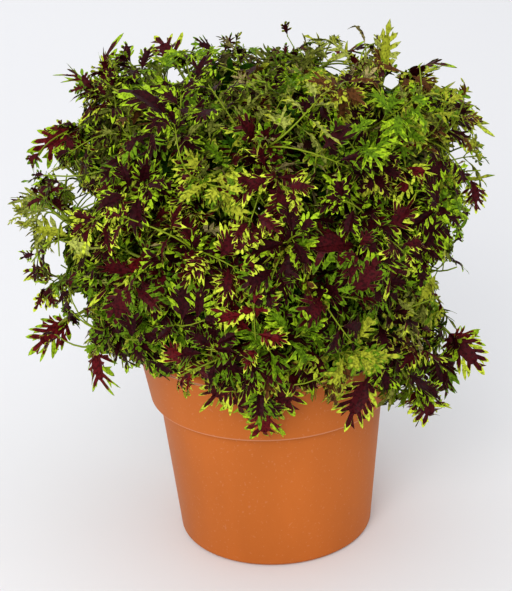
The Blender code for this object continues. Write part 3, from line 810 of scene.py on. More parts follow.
# A side lobe's turn from the leaf's length, in degrees at the blade's foot, how much less it is at the end,
# and its reach at a few shares of the way between them
LOBE_TURN = 74
LOBE_TURN_LESS = 38
LOBE_STATIONS = (0.0, 0.25, 0.6, 1.0)
LOBE_REACHES = (0.20, 0.32, 0.34, 0.24)
# How much side lobes differ in turn, in length and in width
LOBE_TURN_RANGE = (-12, 12)
LOBE_LENGTHS = (0.72, 1.2)
LOBE_WIDTHS = (0.8, 1.25)
# The tip lobe: its length beside what the blade leaves, how far it sways, and its width beside a side lobe's
TIP_LENGTHS = (0.9, 1.2)
TIP_SWAYS = (-0.15, 0.15)
TIP_WIDTH = 1.25
# The share of its stretch of the blade's edge that a lobe's neck leaves free on either side
NECK = 0.17
# Places along a lobe, as shares of its length: its broadest, where the heart's colour is broadest beside
# that, the end of the heart's colour, which is at least a little past the broadest place, and its shoulders
BULGES = (0.50, 0.64)
HEART_BULGE = 0.9
HEART_ENDS = (0.80, 0.92)
HEART_LEAST = 0.04
SHOULDER = 0.86
SHOULDER_WIDTH = 0.62
# How far down a lobe is bent, how far its tip curls, and how far it hooks forwards, as shares of its length
LOBE_PITCHES = (-0.9, 0.7)
LOBE_CURLS = (-0.10, 0.35)
LOBE_HOOKS = (0.0, 0.22)
# A tooth: its foot's ends along the lobe's edge, how far it leans out, its length beside the lobe's, and how
# often it is in the margin's colour
TOOTH_FOOT = (0.30, 0.95)
TOOTH_LEAN = 0.9
TOOTH_LENGTHS = (0.28, 0.5)
TOOTH_MARGIN_SHARE = 0.6
# How far below its upper side a leaf's underside is
UNDER_GAP = 0.006


class LeafStyle(NamedTuple):
    """How the lobes and colour zones of a pattern are drawn, and how many patterns have the style."""

    # Lobes on each side, their reach beside the usual one, and their half width
    lobes: int
    reach: float
    width: float
    # The blade's breadth beside the usual one
    breadth: float
    # The shares of a lobe's width that the heart's colour may have, and how often it has none
    bands: tuple
    plain: float
    # How often a lobe has a tooth, whether it has shoulders, and whether the leaf has a separate underside
    toothed: float
    rounded: bool
    backed: bool
    # How far lobes turn out of the blade's plane
    ruffle: float
    patterns: int


STYLES = {
    "dark": LeafStyle(4, 0.88, 0.052, 1.5, (0.95, 0.88, 0.8), 0.06, 0.7, True, True, 0.60, 6),
    "edged": LeafStyle(5, 0.98, 0.047, 1.2, (0.92, 0.82, 0.70), 0.14, 0.8, True, True, 0.70, 6),
    "bright": LeafStyle(5, 1.05, 0.043, 1.0, (0.80, 0.60, 0.40), 0.42, 0.6, True, True, 0.70, 6),
    "middling": LeafStyle(4, 1.00, 0.052, 1.2, (0.92, 0.82, 0.65), 0.24, 0.5, False, True, 0.85, 8),
    "slender": LeafStyle(4, 0.58, 0.046, 0.92, (0.92, 0.85, 0.70), 0.15, 0.6, False, True, 0.80, 6),
    "young": LeafStyle(3, 0.80, 0.074, 1.45, (0.88, 0.7, 0.5), 0.34, 0.2, True, False, 0.7, 8),
}


class LeafPattern:
    """The points and zones of one pattern."""

    def __init__(self, dice, style):
        self.dice = dice
        self.style = style
        self.points = []
        self.zones = {"heart": [], "margin": [], "under": []}
        self.lift = dice.uniform(*BLADE_LIFTS)
        ends = [self.grow_side(sign) for sign in (1, -1)]
        self.grow_tip_lobe(ends)
        self.points = np.array(self.points, float)
        for zone, faces in self.zones.items():
            self.zones[zone] = self.turned_outward(np.array(faces, int).reshape(-1, 3), zone == "under")

    def turned_outward(self, faces, downward):
        """(point numbers, triangles among them), with every triangle facing up, or down."""
        corners = self.points[faces]
        crossing = np.cross(corners[:, 1] - corners[:, 0], corners[:, 2] - corners[:, 0])
        wrong = (crossing[:, 2] > 0) if downward else (crossing[:, 2] < 0)
        faces[wrong] = faces[wrong][:, ::-1]
        used, local = np.unique(faces, return_inverse=True)
        return used, local.reshape(-1, 3)

    def point(self, place):
        """Adds a point and returns its number."""
        self.points.append(tuple(place))
        return len(self.points) - 1

    def face(self, zone, *corners):
        """Adds a face to a zone, as triangles."""
        for k in range(1, len(corners) - 1):
            self.zones[zone].append((corners[0], corners[k], corners[k + 1]))

    def back(self, *corners):
        """The underside's copy of a face, a leaf's thickness below it."""
        if self.style.backed:
            low = [self.point(Vector(self.points[k]) - UP * UNDER_GAP) for k in corners]
            self.face("under", *low)

    def half_width(self, share):
        return float(np.interp(share, BLADE_STATIONS, BLADE_HALF_WIDTHS)) * self.style.breadth

    def grow_side(self, sign):
        """One half of the blade, with a lobe on every interval of its edge but the first."""
        dice, style = self.dice, self.style
        count = style.lobes + 1
        shift = dice.uniform(*LOBE_SHIFTS) / count
        inner = [BLADE_END * (k / count + shift * (1 - k / count)) for k in range(1, count)]
        places = [0.0] + inner + [BLADE_END]
        middle = [self.point((u, 0.0, 0.0)) for u in places]
        widths = [self.half_width(u) * dice.uniform(*EDGE_WIDTHS) for u in places]
        edge = [self.point((u, sign * b, self.lift * b)) for u, b in zip(places, widths)]
        for k in range(count):
            self.face("heart", middle[k], edge[k], edge[k + 1], middle[k + 1])
            self.back(middle[k], edge[k], edge[k + 1], middle[k + 1])
            if k:
                self.grow_side_lobe(edge[k], edge[k + 1], sign, (k - 0.5) / style.lobes)
        return middle[-1], edge[-1]

    def grow_side_lobe(self, first, second, sign, share):
        """A lobe on one side, a share of the way from the first lobe to the last."""
        dice = self.dice
        turn = math.radians(LOBE_TURN - LOBE_TURN_LESS * share + dice.uniform(*LOBE_TURN_RANGE))
        reach = np.interp(share, LOBE_STATIONS, LOBE_REACHES) * self.style.reach
        length = float(reach) * dice.uniform(*LOBE_LENGTHS)
        aim = Vector((math.cos(turn), sign * math.sin(turn), 0.0))
        self.grow_lobe(first, second, aim, length, self.style.width * dice.uniform(*LOBE_WIDTHS))

    def grow_tip_lobe(self, ends):
        """The long lobe that ends the leaf, on the ends of both halves of the blade."""
        (middle, left), (_, right) = ends
        length = (1.0 - BLADE_END) * self.dice.uniform(*TIP_LENGTHS)
        aim = Vector((1.0, self.dice.uniform(*TIP_SWAYS), 0.0)).normalized()
        self.face("heart", left, middle, right)
        self.back(left, middle, right)
        self.grow_lobe(right, left, aim, length, self.style.width * TIP_WIDTH)

    def grow_lobe(self, first, second, aim, length, width):
        """A finger lobe on the edge from first to second: a band of the heart's colour in a paler margin."""
        dice, style = self.dice, self.style
        start, end = Vector(self.points[first]), Vector(self.points[second])
        root = (start + end) / 2
        side = Vector((-aim.y, aim.x, 0.0))
        if side.dot(end - start) < 0:
            side.negate()
        roll = dice.uniform(-1, 1) * style.ruffle
        side = side * math.cos(roll) + UP * math.sin(roll)
        pitch = dice.uniform(*LOBE_PITCHES) * style.ruffle
        curl = -dice.uniform(*LOBE_CURLS) * length
        hook = Vector((dice.uniform(*LOBE_HOOKS), 0.0, 0.0)) * length

        def spot(share, across):
            climb = UP * (math.tan(pitch) * length * share + curl * share**2)
            return root + aim * length * share + side * across + hook * share**2 + climb

        band = dice.choice(style.bands)
        zone = "margin" if dice.random() < style.plain else "heart"
        bulge = dice.uniform(*BULGES)
        neck = [self.point(start.lerp(end, share)) for share in (NECK, 1.0 - NECK)]
        outer = [self.point(spot(bulge, sign * width)) for sign in (-1, 1)]
        inner = [self.point(spot(bulge * HEART_BULGE, sign * width * band)) for sign in (-1, 1)]
        heart_end = self.point(spot(max(bulge + HEART_LEAST, band * dice.uniform(*HEART_ENDS)), 0.0))
        tip = self.point(spot(1.0, 0.0))
        self.face(zone, *neck, inner[1], inner[0])
        self.face(zone, inner[0], inner[1], heart_end)
        self.back(*neck, outer[1], outer[0])
        for k in (0, 1):
            self.face("margin", neck[k], inner[k], outer[k])
        if style.rounded:
            shoulders = [self.point(spot(SHOULDER, sign * width * SHOULDER_WIDTH)) for sign in (-1, 1)]
            self.back(*outer, shoulders[1], shoulders[0])
            self.back(*shoulders, tip)
            self.face("margin", heart_end, shoulders[0], tip, shoulders[1])
            for k in (0, 1):
                self.face("margin", inner[k], heart_end, shoulders[k], outer[k])
        else:
            self.back(*outer, tip)
            for k in (0, 1):
                self.face("margin", inner[k], heart_end, tip, outer[k])
        if dice.random() < style.toothed:
            k = dice.randrange(2)
            self.grow_tooth(neck[k], outer[k], aim + side * (-TOOTH_LEAN, TOOTH_LEAN)[k], length, zone)

    def grow_tooth(self, first, second, aim, length, zone):
        """A short side lobe that points forwards from a lobe's edge."""
        start, end = Vector(self.points[first]), Vector(self.points[second])
        low, high = (start.lerp(end, share) for share in TOOTH_FOOT)
        tip = (low + high) / 2 + aim.normalized() * length * self.dice.uniform(*TOOTH_LENGTHS)
        own_zone = "margin" if self.dice.random() < TOOTH_MARGIN_SHARE else zone
        self.face(own_zone, *(self.point(p) for p in (low, high, tip)))


def draw_patterns():
    """The patterns of every style, each with several leaves that differ."""
    dice = random.Random(SEED)
    patterns = {}
    for name, style in STYLES.items():
        patterns[name] = [LeafPattern(dice, style) for _ in range(style.patterns)]
    return patterns


def placed_points(points, root, along, face, length, bend, twist):
    """A pattern's points on the plant: bent down along its length, twisted, turned and scaled."""
    across = face.cross(along).normalized()
    upper = along.cross(across)
    u, v, w = points.T
    turn = twist * u
    v, w = v * np.cos(turn) - w * np.sin(turn), v * np.sin(turn) + w * np.cos(turn)
    angle = bend * u
    ahead = np.sin(angle) / bend + w * np.sin(angle)
    above = (np.cos(angle) - 1) / bend + w * np.cos(angle)
    frame_of_leaf = np.array([along, across, upper])
    return np.array(root) + length * (np.stack([ahead, v, above], 1) @ frame_of_leaf)


# Growing the foliage

# Leaf pairs back from a shoot's tip: distance from it, length beside a full leaf's, spread from the shoot's
# axis in degrees, and style, where "full" stands for the style of the shoot's own family
NODES = (
    (0.001, 0.48, 20, "young"),
    (0.005, 0.62, 38, "young"),
    (0.011, 0.74, 54, "middling"),
    (0.019, 0.96, 66, "full"),
    (0.030, 1.00, 78, "full"),
    (0.043, 0.80, 82, "middling"),
)
# The least distance between a leaf pair and its shoot's foot, and how much the pairs' distances differ
NODE_MARGIN = 0.004
NODE_SHIFTS = (0.9, 1.1)
# Now and then a dark leaf grows larger than its neighbours
LARGE_STYLES = ("dark", "edged")
LARGE_SHARE = 0.06
LARGE_GROWTH = 1.55
# Low on the crown the leaves are larger, and turn their upper sides more outward
LOW_GROWTH = 0.28
LOW_FACING = 0.55
# How a leaf's upper side is turned: the weights of its own place on the shoot, of upwards and of outwards,
# and how much less the first two are low on the crown
OWN_FACING = 0.7
UP_FACING = 0.9
OUT_FACING = 0.10
LOW_FACING_LESS = 0.3
# Draws for a leaf: how many there are, how much shorter each is than the one before, and its ranges
LEAF_TRIES = 4
TRY_SHRINK = 0.09
TURN_RANGE = (-0.35, 0.35)
LEAN_RANGE = (-12, 12)
LEAF_LENGTHS = (0.82, 1.12)
STALK_LENGTHS = (0.10, 0.24)
LEAF_BENDS = (0.2, 1.2)
LEAF_TWISTS = (-0.9, 0.9)
# How far leaves turn outwards from the crown's middle
LEAF_OUTWARD = 0.18
# How far out of the crown a leaf's tip may reach, as a share of its depth
TIP_DEPTHS = (0.92, 1.03)
# Low at the front the leaves hang further down, over the pot's rim
SKIRT_TOP = 0.262
SKIRT_SPAN = (-0.115, 0.160)
SKIRT_DEPTHS = (1.05, 1.42)
SKIRT_DROOP = (0.3, 1.2)
DROOP = (0.0, 0.35)
LEAF_CLEARANCE = 0.0012
# Where sky shows through the crown or notches its edge in the photo: places across and in height on the
# upright plane through the pot's middle, to half a centimetre, and radii to a millimetre
SKY_GAPS = (
    (-0.170, 0.430, 0.007),
    (-0.200, 0.405, 0.007),
    (-0.195, 0.385, 0.006),
    (-0.180, 0.370, 0.007),
    (-0.165, 0.345, 0.008),
    (-0.195, 0.325, 0.011),
    (-0.195, 0.300, 0.006),
    (-0.195, 0.280, 0.006),
    (-0.205, 0.230, 0.008),
    (-0.180, 0.240, 0.006),
    (-0.175, 0.220, 0.006),
    (-0.190, 0.205, 0.011),
    (-0.160, 0.180, 0.007),
    (-0.180, 0.165, 0.008),
    (-0.130, 0.160, 0.011),
    (-0.080, 0.490, 0.006),
    (-0.075, 0.460, 0.005),
    (-0.005, 0.490, 0.006),
    (0.015, 0.490, 0.006),
    (0.035, 0.490, 0.007),
    (0.070, 0.465, 0.008),
    (0.090, 0.480, 0.006),
    (0.120, 0.445, 0.006),
    (0.135, 0.465, 0.009),
    (0.130, 0.485, 0.010),
    (0.175, 0.445, 0.006),
    (0.180, 0.375, 0.006),
    (0.200, 0.300, 0.011),
    (0.185, 0.275, 0.006),
    (0.165, 0.260, 0.006),
    (0.180, 0.230, 0.011),
)
# Where the pot's rim shows between the leaves that hang over it, given in the same way
RIM_WINDOWS = (
    (-0.105, 0.150, 0.009),
    (-0.090, 0.130, 0.008),
    (-0.070, 0.115, 0.008),
    (-0.050, 0.130, 0.008),
    (-0.050, 0.110, 0.008),
    (-0.025, 0.090, 0.007),
    (0.025, 0.100, 0.008),
    (0.030, 0.120, 0.011),
    (0.045, 0.100, 0.009),
    (0.085, 0.140, 0.010),
    (0.090, 0.125, 0.010),
    (0.085, 0.110, 0.008),
    (0.130, 0.105, 0.011),
)
OPENINGS = np.array(SKY_GAPS + RIM_WINDOWS)
# The heights between which colours and turns change from those of the crown's foot to those of its top
LOW, HIGH = 0.16, 0.47
# The most triangles in one piece of leaves
MOST_TRIANGLES = 190000

# Colour families, dealt out shoot by shoot: the full leaves' style, the tints of their heart, margin and
# underside, and the family's weight low down and high up on the crown
FAMILIES = (
    ("dark", "maroon", "lime", "pale_under", 1.5, 2.2),
    ("dark", "wine", "leaf_green", "tinted_under", 0.9, 1.4),
    ("edged", "maroon", "lime", "pale_under", 2.8, 2.6),
    ("edged", "wine", "yellow_lime", "pale_under", 1.4, 1.5),
    ("edged", "maroon", "leaf_green", "pale_under", 2.2, 1.5),
    ("edged", "claret", "yellow_lime", "pale_under", 1.1, 0.2),
    ("slender", "bronze", "olive", "tinted_under", 0.2, 1.3),
    ("slender", "maroon", "olive", "tinted_under", 0.2, 1.9),
    ("slender", "olive", "leaf_green", "pale_under", 0.1, 1.0),
    ("bright", "maroon", "leaf_green", "pale_under", 1.8, 0.5),
    ("bright", "leaf_green", "lime", "pale_under", 1.5, 0.6),
    ("slender", "leaf_green", "olive", "tinted_under", 0.9, 0.8),
)
# The share of leaves at the crown's foot that keep their family's underside; the rest have a green one. None
# has at the top.
PALE_UNDER_SHARE = 0.15
# The families of the leaves at the ends of outstanding sprays
SPRAY_FAMILIES = (
    ("dark", "wine", "lime", "wine"),
    ("edged", "claret", "lime", "wine"),
    ("edged", "wine", "yellow_lime", "wine"),
)
# Where whole shoots are pale: their families, and each patch's place across and in height, and its radius
PALE_FAMILIES = (
    ("slender", "pale_under", "olive", "pale_under"),
    ("slender", "bronze", "olive", "pale_under"),
    ("slender", "olive", "pale_under", "tinted_under"),
)
PALE_PATCHES = (
    (-0.212, 0.352, 0.040),
    (0.064, 0.485, 0.024),
    (0.121, 0.492, 0.020),
    (0.190, 0.420, 0.026),
)
# The leaves at a spray's end: how far each is turned from the longest, and its length beside that one's
SPRAY_FAN = ((0.0, 1.0), (0.62, 0.64), (-0.66, 0.60))
# How a spray's leaves turn their upper sides: the weights of upwards and of outwards, the sway across and in
# depth, and how far the lowest ones turn to the front
SPRAY_UP_FACING = 0.7
SPRAY_OUT_FACING = 0.2
SPRAY_SWAYS = ((-0.5, 0.5), (-0.4, 0.2))
SPRAY_FACING = 0.9
SPRAY_BEND = 0.12
# How much further out than the crown the leaves along a spray may reach, as a share of its depth; this
# lessens to nothing at the crown's foot, where sprays are sparse
SPRAY_SPARE = 0.12
# Ends of a few shoots more, where the crown's corners are full right out
CORNER_ENDS = (
    (-0.134, 0.000, 0.466),
    (-0.116, 0.010, 0.472),
    (-0.150, -0.020, 0.456),
    (-0.126, -0.040, 0.462),
    (0.180, 0.000, 0.424),
    (-0.140, -0.030, 0.186),
)
# How much more often the slender, duller families come up towards the crown's top right, and the least
# share of their weight that is left to them at its top left
SLENDER_SIDE = 2.4
LEAST_SIDE = 0.15
# Leaves deep inside the crown take darker, duller families instead of their shoot's own: painted shade
PAINTED_SHADE_DEPTH = 0.68
PAINTED_SHADE_FAMILIES = (
    ("dark", "maroon", "deep_green", "maroon"),
    ("edged", "maroon", "leaf_green", "deep_green"),
    ("edged", "deep_green", "leaf_green", "deep_green"),
)


def share_up(spot):
    """How high a spot is on the crown, from 0 at its foot to 1 near its top."""
    return min(1.0, max(0.0, (spot.z - LOW) / (HIGH - LOW)))


def in_pale_patch(spot):
    """Whether a spot stands where whole shoots are pale."""
    return any(math.hypot(spot.x - x, spot.z - z) < radius for x, z, radius in PALE_PATCHES)


class Growth:
    """What has grown so far: twigs by finish, and leaves by tint."""

    def __init__(self, sizes):
        self.sizes = sizes
        self.masses = plan_masses()
        self.limbs = Limbs(self.masses)
        self.patterns = draw_patterns()
        self.twigs = {"twig": [], "petiole": []}
        self.tints = {}
        for index, mass in enumerate(self.masses):
            self.grow_mass(index, mass)

    def grow_mass(self, index, mass):
        """All that one mass carries: its stem, twigs, sprays, side shoots and leaves."""
        dice = random.Random(SEED + index)
        for _ in range(CORE_CORNERS):
            dice.random()
        tips = carried_by(mass, self.masses, SPRAY_TIPS)
        sprays = [spray_path(mass, tip) for tip in tips]
        twigs = pick_twigs(dice, mass, self.masses, self.limbs, TWIGS_PER_MASS)
        stem = mass.stem_path()
        draws = np.random.default_rng(SEED + index)
        taken = [path[-1] for path in twigs + sprays]
        ends = shoot_ends(draws, mass, self.masses, taken, self.sizes.shoot_spacing)
        shoots = [shoot_path(end, [stem] + twigs + sprays) for end in ends]
        corners = [shoot_path(end, [stem] + twigs) for end in carried_by(mass, self.masses, CORNER_ENDS)]
        self.twigs["twig"].append(plain_tube(stem, BOUGH_TIP_RADIUS, TWIG_RADIUS, MASS_STEM_SIDES))
        for path in twigs + sprays:
            self.twigs["twig"].append(plain_tube(path, TWIG_RADIUS, TWIG_TIP_RADIUS, TWIG_SIDES))
        for path in shoots + corners:
            self.twigs["petiole"].append(plain_tube(path, SHOOT_RADIUS, SHOOT_TIP_RADIUS, SHOOT_SIDES))
        for path, tip in zip(sprays, tips):
            self.grow_spray_tip(dice, path, tip)
        for path in twigs + shoots:
            self.grow_shoot(dice, path, 0.0)
        for path in sprays + corners:
            self.grow_shoot(dice, path, SPRAY_SPARE * share_up(path[-1]))

    def pick_family(self, dice, spot):
        """A shoot's colour family, by where it ends."""
        if in_pale_patch(spot):
            return dice.choice(PALE_FAMILIES)
        high = share_up(spot)
        side = max(LEAST_SIDE, 1.0 + SLENDER_SIDE * high * spot.x / CROWN_RADIUS)
        weights = [low + (top - low) * high for *_, low, top in FAMILIES]
        weights = [w * side if family[0] == "slender" else w for w, family in zip(weights, FAMILIES)]
        style, heart, margin, under = dice.choices(FAMILIES, weights)[0][:4]
        return style, heart, margin, under if dice.random() < PALE_UNDER_SHARE + high else "green_under"

    def grow_shoot(self, dice, path, spare):
        """Crossed pairs of leaves along a shoot, smallest and steepest at its tip. Spare is how much deeper
        than the crown its leaves may reach."""
        shoot_family = self.pick_family(dice, path[-1])
        first_turn = dice.uniform(0, math.tau)
        reach = sum((b - a).length for a, b in zip(path, path[1:]))
        for number, (back, size, spread, style) in enumerate(NODES):
            if back > reach - NODE_MARGIN:
                break
            node, axis = spot_along(path, back * dice.uniform(*NODE_SHIFTS))
            # Leaves deep inside the crown take the darker families: painted shade
            inner = crown_depth(node) < PAINTED_SHADE_DEPTH
            family = dice.choice(PAINTED_SHADE_FAMILIES) if inner else shoot_family
            style = family[0] if style == "full" else style
            for half in (0, 1):
                turn = first_turn + math.pi / 2 * number + math.pi * half
                self.try_leaf(dice, node, axis, turn, spread, size, style, family, spare)

    def try_leaf(self, dice, node, axis, turn, spread, size, style, family, spare):
        """Adds the first of several draws of a leaf that keeps to the crown, clear of pot and limbs."""
        side = axis.orthogonal().normalized()
        across = axis.cross(side)
        outward = (node - CROWN_CENTRE).normalized()
        over_rim = node.z < SKIRT_TOP and node.y < 0 and SKIRT_SPAN[0] < node.x < SKIRT_SPAN[1]
        limit = spare + dice.uniform(*(SKIRT_DEPTHS if over_rim else TIP_DEPTHS))
        low = 1.0 - share_up(node)
        own_facing = OWN_FACING - LOW_FACING_LESS * low
        up_facing = UP_FACING - LOW_FACING_LESS * low
        out_facing = OUT_FACING + LOW_FACING * low
        large = style in LARGE_STYLES and dice.random() < LARGE_SHARE
        growth = (LARGE_GROWTH if large else 1.0) * (1.0 + LOW_GROWTH * low)
        for attempt in range(LEAF_TRIES):
            angle = turn + dice.uniform(*TURN_RANGE)
            out = side * math.cos(angle) + across * math.sin(angle)
            lean = math.radians(spread + dice.uniform(*LEAN_RANGE))
            along = axis * math.cos(lean) + out * math.sin(lean)
            droop = dice.uniform(*(SKIRT_DROOP if over_rim else DROOP))
            along = (along + outward * LEAF_OUTWARD - UP * droop).normalized()
            face = axis * math.sin(lean) - out * math.cos(lean)
            face = (face * own_facing + UP * up_facing + outward * out_facing).normalized()
            length = self.sizes.leaf_length * size * growth * dice.uniform(*LEAF_LENGTHS)
            length = length * (1.0 - TRY_SHRINK * attempt)
            root = node + along * (length * dice.uniform(*STALK_LENGTHS))
            bend = dice.uniform(*LEAF_BENDS)
            twist = dice.uniform(*LEAF_TWISTS)
            pattern = dice.choice(self.patterns[style])
            points = placed_points(pattern.points, root, along, face, length, bend, twist)
            if self.fits(points, limit):
                self.add_leaf(pattern, points, family)
                last_radius = PETIOLE_RADIUS * PETIOLE_TAPER
                stalk = plain_tube([node, root], PETIOLE_RADIUS, last_radius, PETIOLE_SIDES)
                self.twigs["petiole"].append(stalk)
                return

    def fits(self, points, limit):
        """Whether a leaf keeps to a depth, to its clearances and out of the openings."""
        if crown_depth(points).max() > limit or not clear_of_pot(points, LEAF_CLEARANCE).all():
            return False
        if in_opening(points[::3]):
            return False
        return self.limbs.gap(points[::4]) > LEAF_CLEARANCE / 2

    def grow_spray_tip(self, dice, path, tip):
        """The leaves at a spray's end: a long one that reaches for the tip, and a shorter pair."""
        root = path[-1]
        reach = tip - root
        outward = (tip - CROWN_CENTRE).normalized()
        low = 1.0 - share_up(tip)
        across, deep = (dice.uniform(*sway) for sway in SPRAY_SWAYS)
        sway = Vector((across, deep - SPRAY_FACING * low, 0.0))
        face = UP * SPRAY_UP_FACING + outward * (SPRAY_OUT_FACING + LOW_FACING * low) + sway
        face.normalize()
        families = PALE_FAMILIES if in_pale_patch(tip) else SPRAY_FAMILIES
        for turn, share in SPRAY_FAN:
            family = dice.choice(families)
            pattern = dice.choice(self.patterns[family[0]])
            along = Matrix.Rotation(turn, 3, face) @ reach.normalized()
            length, bend = reach.length * share, SPRAY_BEND + abs(turn)
            points = placed_points(pattern.points, root, along, face, length, bend, 0.0)
            if clear_of_pot(points, LEAF_CLEARANCE).all() and (share == 1.0 or not in_opening(points[::3])):
                self.add_leaf(pattern, points, family)

    def add_leaf(self, pattern, points, family):
        """Files a leaf's faces by tint, zone by zone."""
        for zone, tint in zip(("heart", "margin", "under"), family[1:]):
            used, faces = pattern.zones[zone]
            if len(faces):
                self.tints.setdefault(tint, []).append((points[used], faces))


def in_opening(points):
    """Whether any point stands in the line of sight from the camera through an opening."""
    share = -CAMERA_PLACE.y / (points[:, 1] - CAMERA_PLACE.y)
    across = CAMERA_PLACE.x + (points[:, 0] - CAMERA_PLACE.x) * share
    height = CAMERA_PLACE.z + (points[:, 2] - CAMERA_PLACE.z) * share
    x, z, radius = OPENINGS.T
    return bool((np.hypot(across[:, None] - x, height[:, None] - z) < radius).any())


def spot_along(path, back):
    """The point and direction a distance back from a path's end."""
    for a, b in zip(reversed(path[:-1]), reversed(path)):
        step = (b - a).length
        if back <= step:
            return b.lerp(a, back / step), (b - a).normalized()
        back -= step
    return path[0], (path[1] - path[0]).normalized()


def joined(shapes):
    """Many (points, faces) as one."""
    points = [np.asarray(p, float) for p, _ in shapes]
    starts = np.cumsum([0] + [len(p) for p in points[:-1]])
    faces = [np.asarray(f, int) + start for (_, f), start in zip(shapes, starts)]
    return np.concatenate(points), np.concatenate(faces)


def in_batches(shapes):
    """The shapes in runs of fewer triangles than one piece may have."""
    batch, count = [], 0
    for shape in shapes:
        if count + len(shape[1]) > MOST_TRIANGLES:
            yield batch
            batch, count = [], 0
        batch.append(shape)
        count += len(shape[1])
    yield batch


# The foliage that has grown, which the operators share
GROWN = {}


def grown_foliage():
    """The foliage, grown once and shared by the operators for its twigs and its leaves."""
    if "plant" not in GROWN:
        GROWN["plant"] = Growth(bpy.context.scene.coleus_sizes)
    return GROWN["plant"]


# Sizes and colours that a user would change


def colour_property(name, description, default):
    """A colour that a user would change."""
    return FloatVectorProperty(
        name=name, description=description, default=default, subtype="COLOR", size=3, min=0.0, max=1.0
    )


class ColeusSizes(bpy.types.PropertyGroup):
    """Sizes of the pot and of the plant's growth"""

    pot_segments: IntProperty(
        name="Pot segments", description="Facets round the pot", default=160, min=36, max=512
    )
    rim_radius: FloatProperty(
        name="Rim radius", description="Outer radius of the pot's band at its top", default=POT_BOX[1].x,
        unit="LENGTH",
    )
    leaf_length: FloatProperty(
        name="Leaf length", description="Length of a full leaf's blade", default=0.0355, unit="LENGTH"
    )
    shoot_spacing: FloatProperty(
        name="Shoot spacing", description="Least distance between the ends of side shoots", default=0.020,
        unit="LENGTH",
    )


class ColeusColours(bpy.types.PropertyGroup):
    """Colours of the pot, the compost, the stems and the leaves"""

    plastic: colour_property("Pot plastic", "Terracotta-coloured plastic", (0.466, 0.137, 0.0265))
    crumbs: colour_property("Compost", "Damp peat compost", (0.020, 0.013, 0.009))
    stem: colour_property("Stem", "Main stem and boughs", (0.240, 0.300, 0.030))
    shoot: colour_property("Shoots", "Side shoots and leaf stalks", (0.210, 0.270, 0.014))
    maroon: colour_property("Maroon", "Darkest leaf hearts", (0.034, 0.0032, 0.0062))
    wine: colour_property("Wine", "Redder leaf hearts", (0.062, 0.0045, 0.0078))
    claret: colour_property("Claret", "Reddest leaf hearts, low in the light", (0.112, 0.0080, 0.0110))
    bronze: colour_property("Bronze", "Brownish leaf hearts", (0.105, 0.0430, 0.0130))
    lime: colour_property("Lime", "Bright leaf margins", (0.300, 0.440, 0.018))
    yellow_lime: colour_property("Yellow lime", "Yellowest leaf margins", (0.480, 0.560, 0.048))
    olive: colour_property("Olive", "Duller leaf margins", (0.345, 0.372, 0.034))
    # Deep green is painted shade on the leaves inside the crown
    deep_green: colour_property("Deep green", "Shaded leaves inside the crown", (0.030, 0.085, 0.004))
    leaf_green: colour_property("Leaf green", "Green margins and young hearts", (0.130, 0.225, 0.009))
    pale_under: colour_property("Pale underside", "Grey-green undersides", (0.340, 0.370, 0.080))
    tinted_under: colour_property("Tinted underside", "Brown-tinged undersides", (0.380, 0.315, 0.140))
    green_under: colour_property("Green underside", "Undersides low on the crown", (0.150, 0.225, 0.014))


class ColeusStage(bpy.types.PropertyGroup):
    """The floor's colour and the strength of the light"""

    floor: colour_property("Floor", "Plain pale floor", (0.78, 0.78, 0.80))
    key_power: FloatProperty(
        name="Key light", description="Power of the large soft light", default=31.0, unit="POWER"
    )
    back_power: FloatProperty(
        name="Back light", description="Power of the light on the floor behind", default=9.0, unit="POWER"
    )
    sky_strength: FloatProperty(
        name="Room light", description="Strength of the even light all round", default=0.81, min=0.0
    )


# Operators, one for each piece or group of like pieces


def quarter_arc(radius, height, wide, tall, first, steps):
    """(radius, height) points of a quarter of an oval, from its first angle in degrees on."""
    angles = [math.radians(first + 90 * k / steps) for k in range(steps + 1)]
    return [(radius + wide * math.cos(a), height + tall * math.sin(a)) for a in angles]


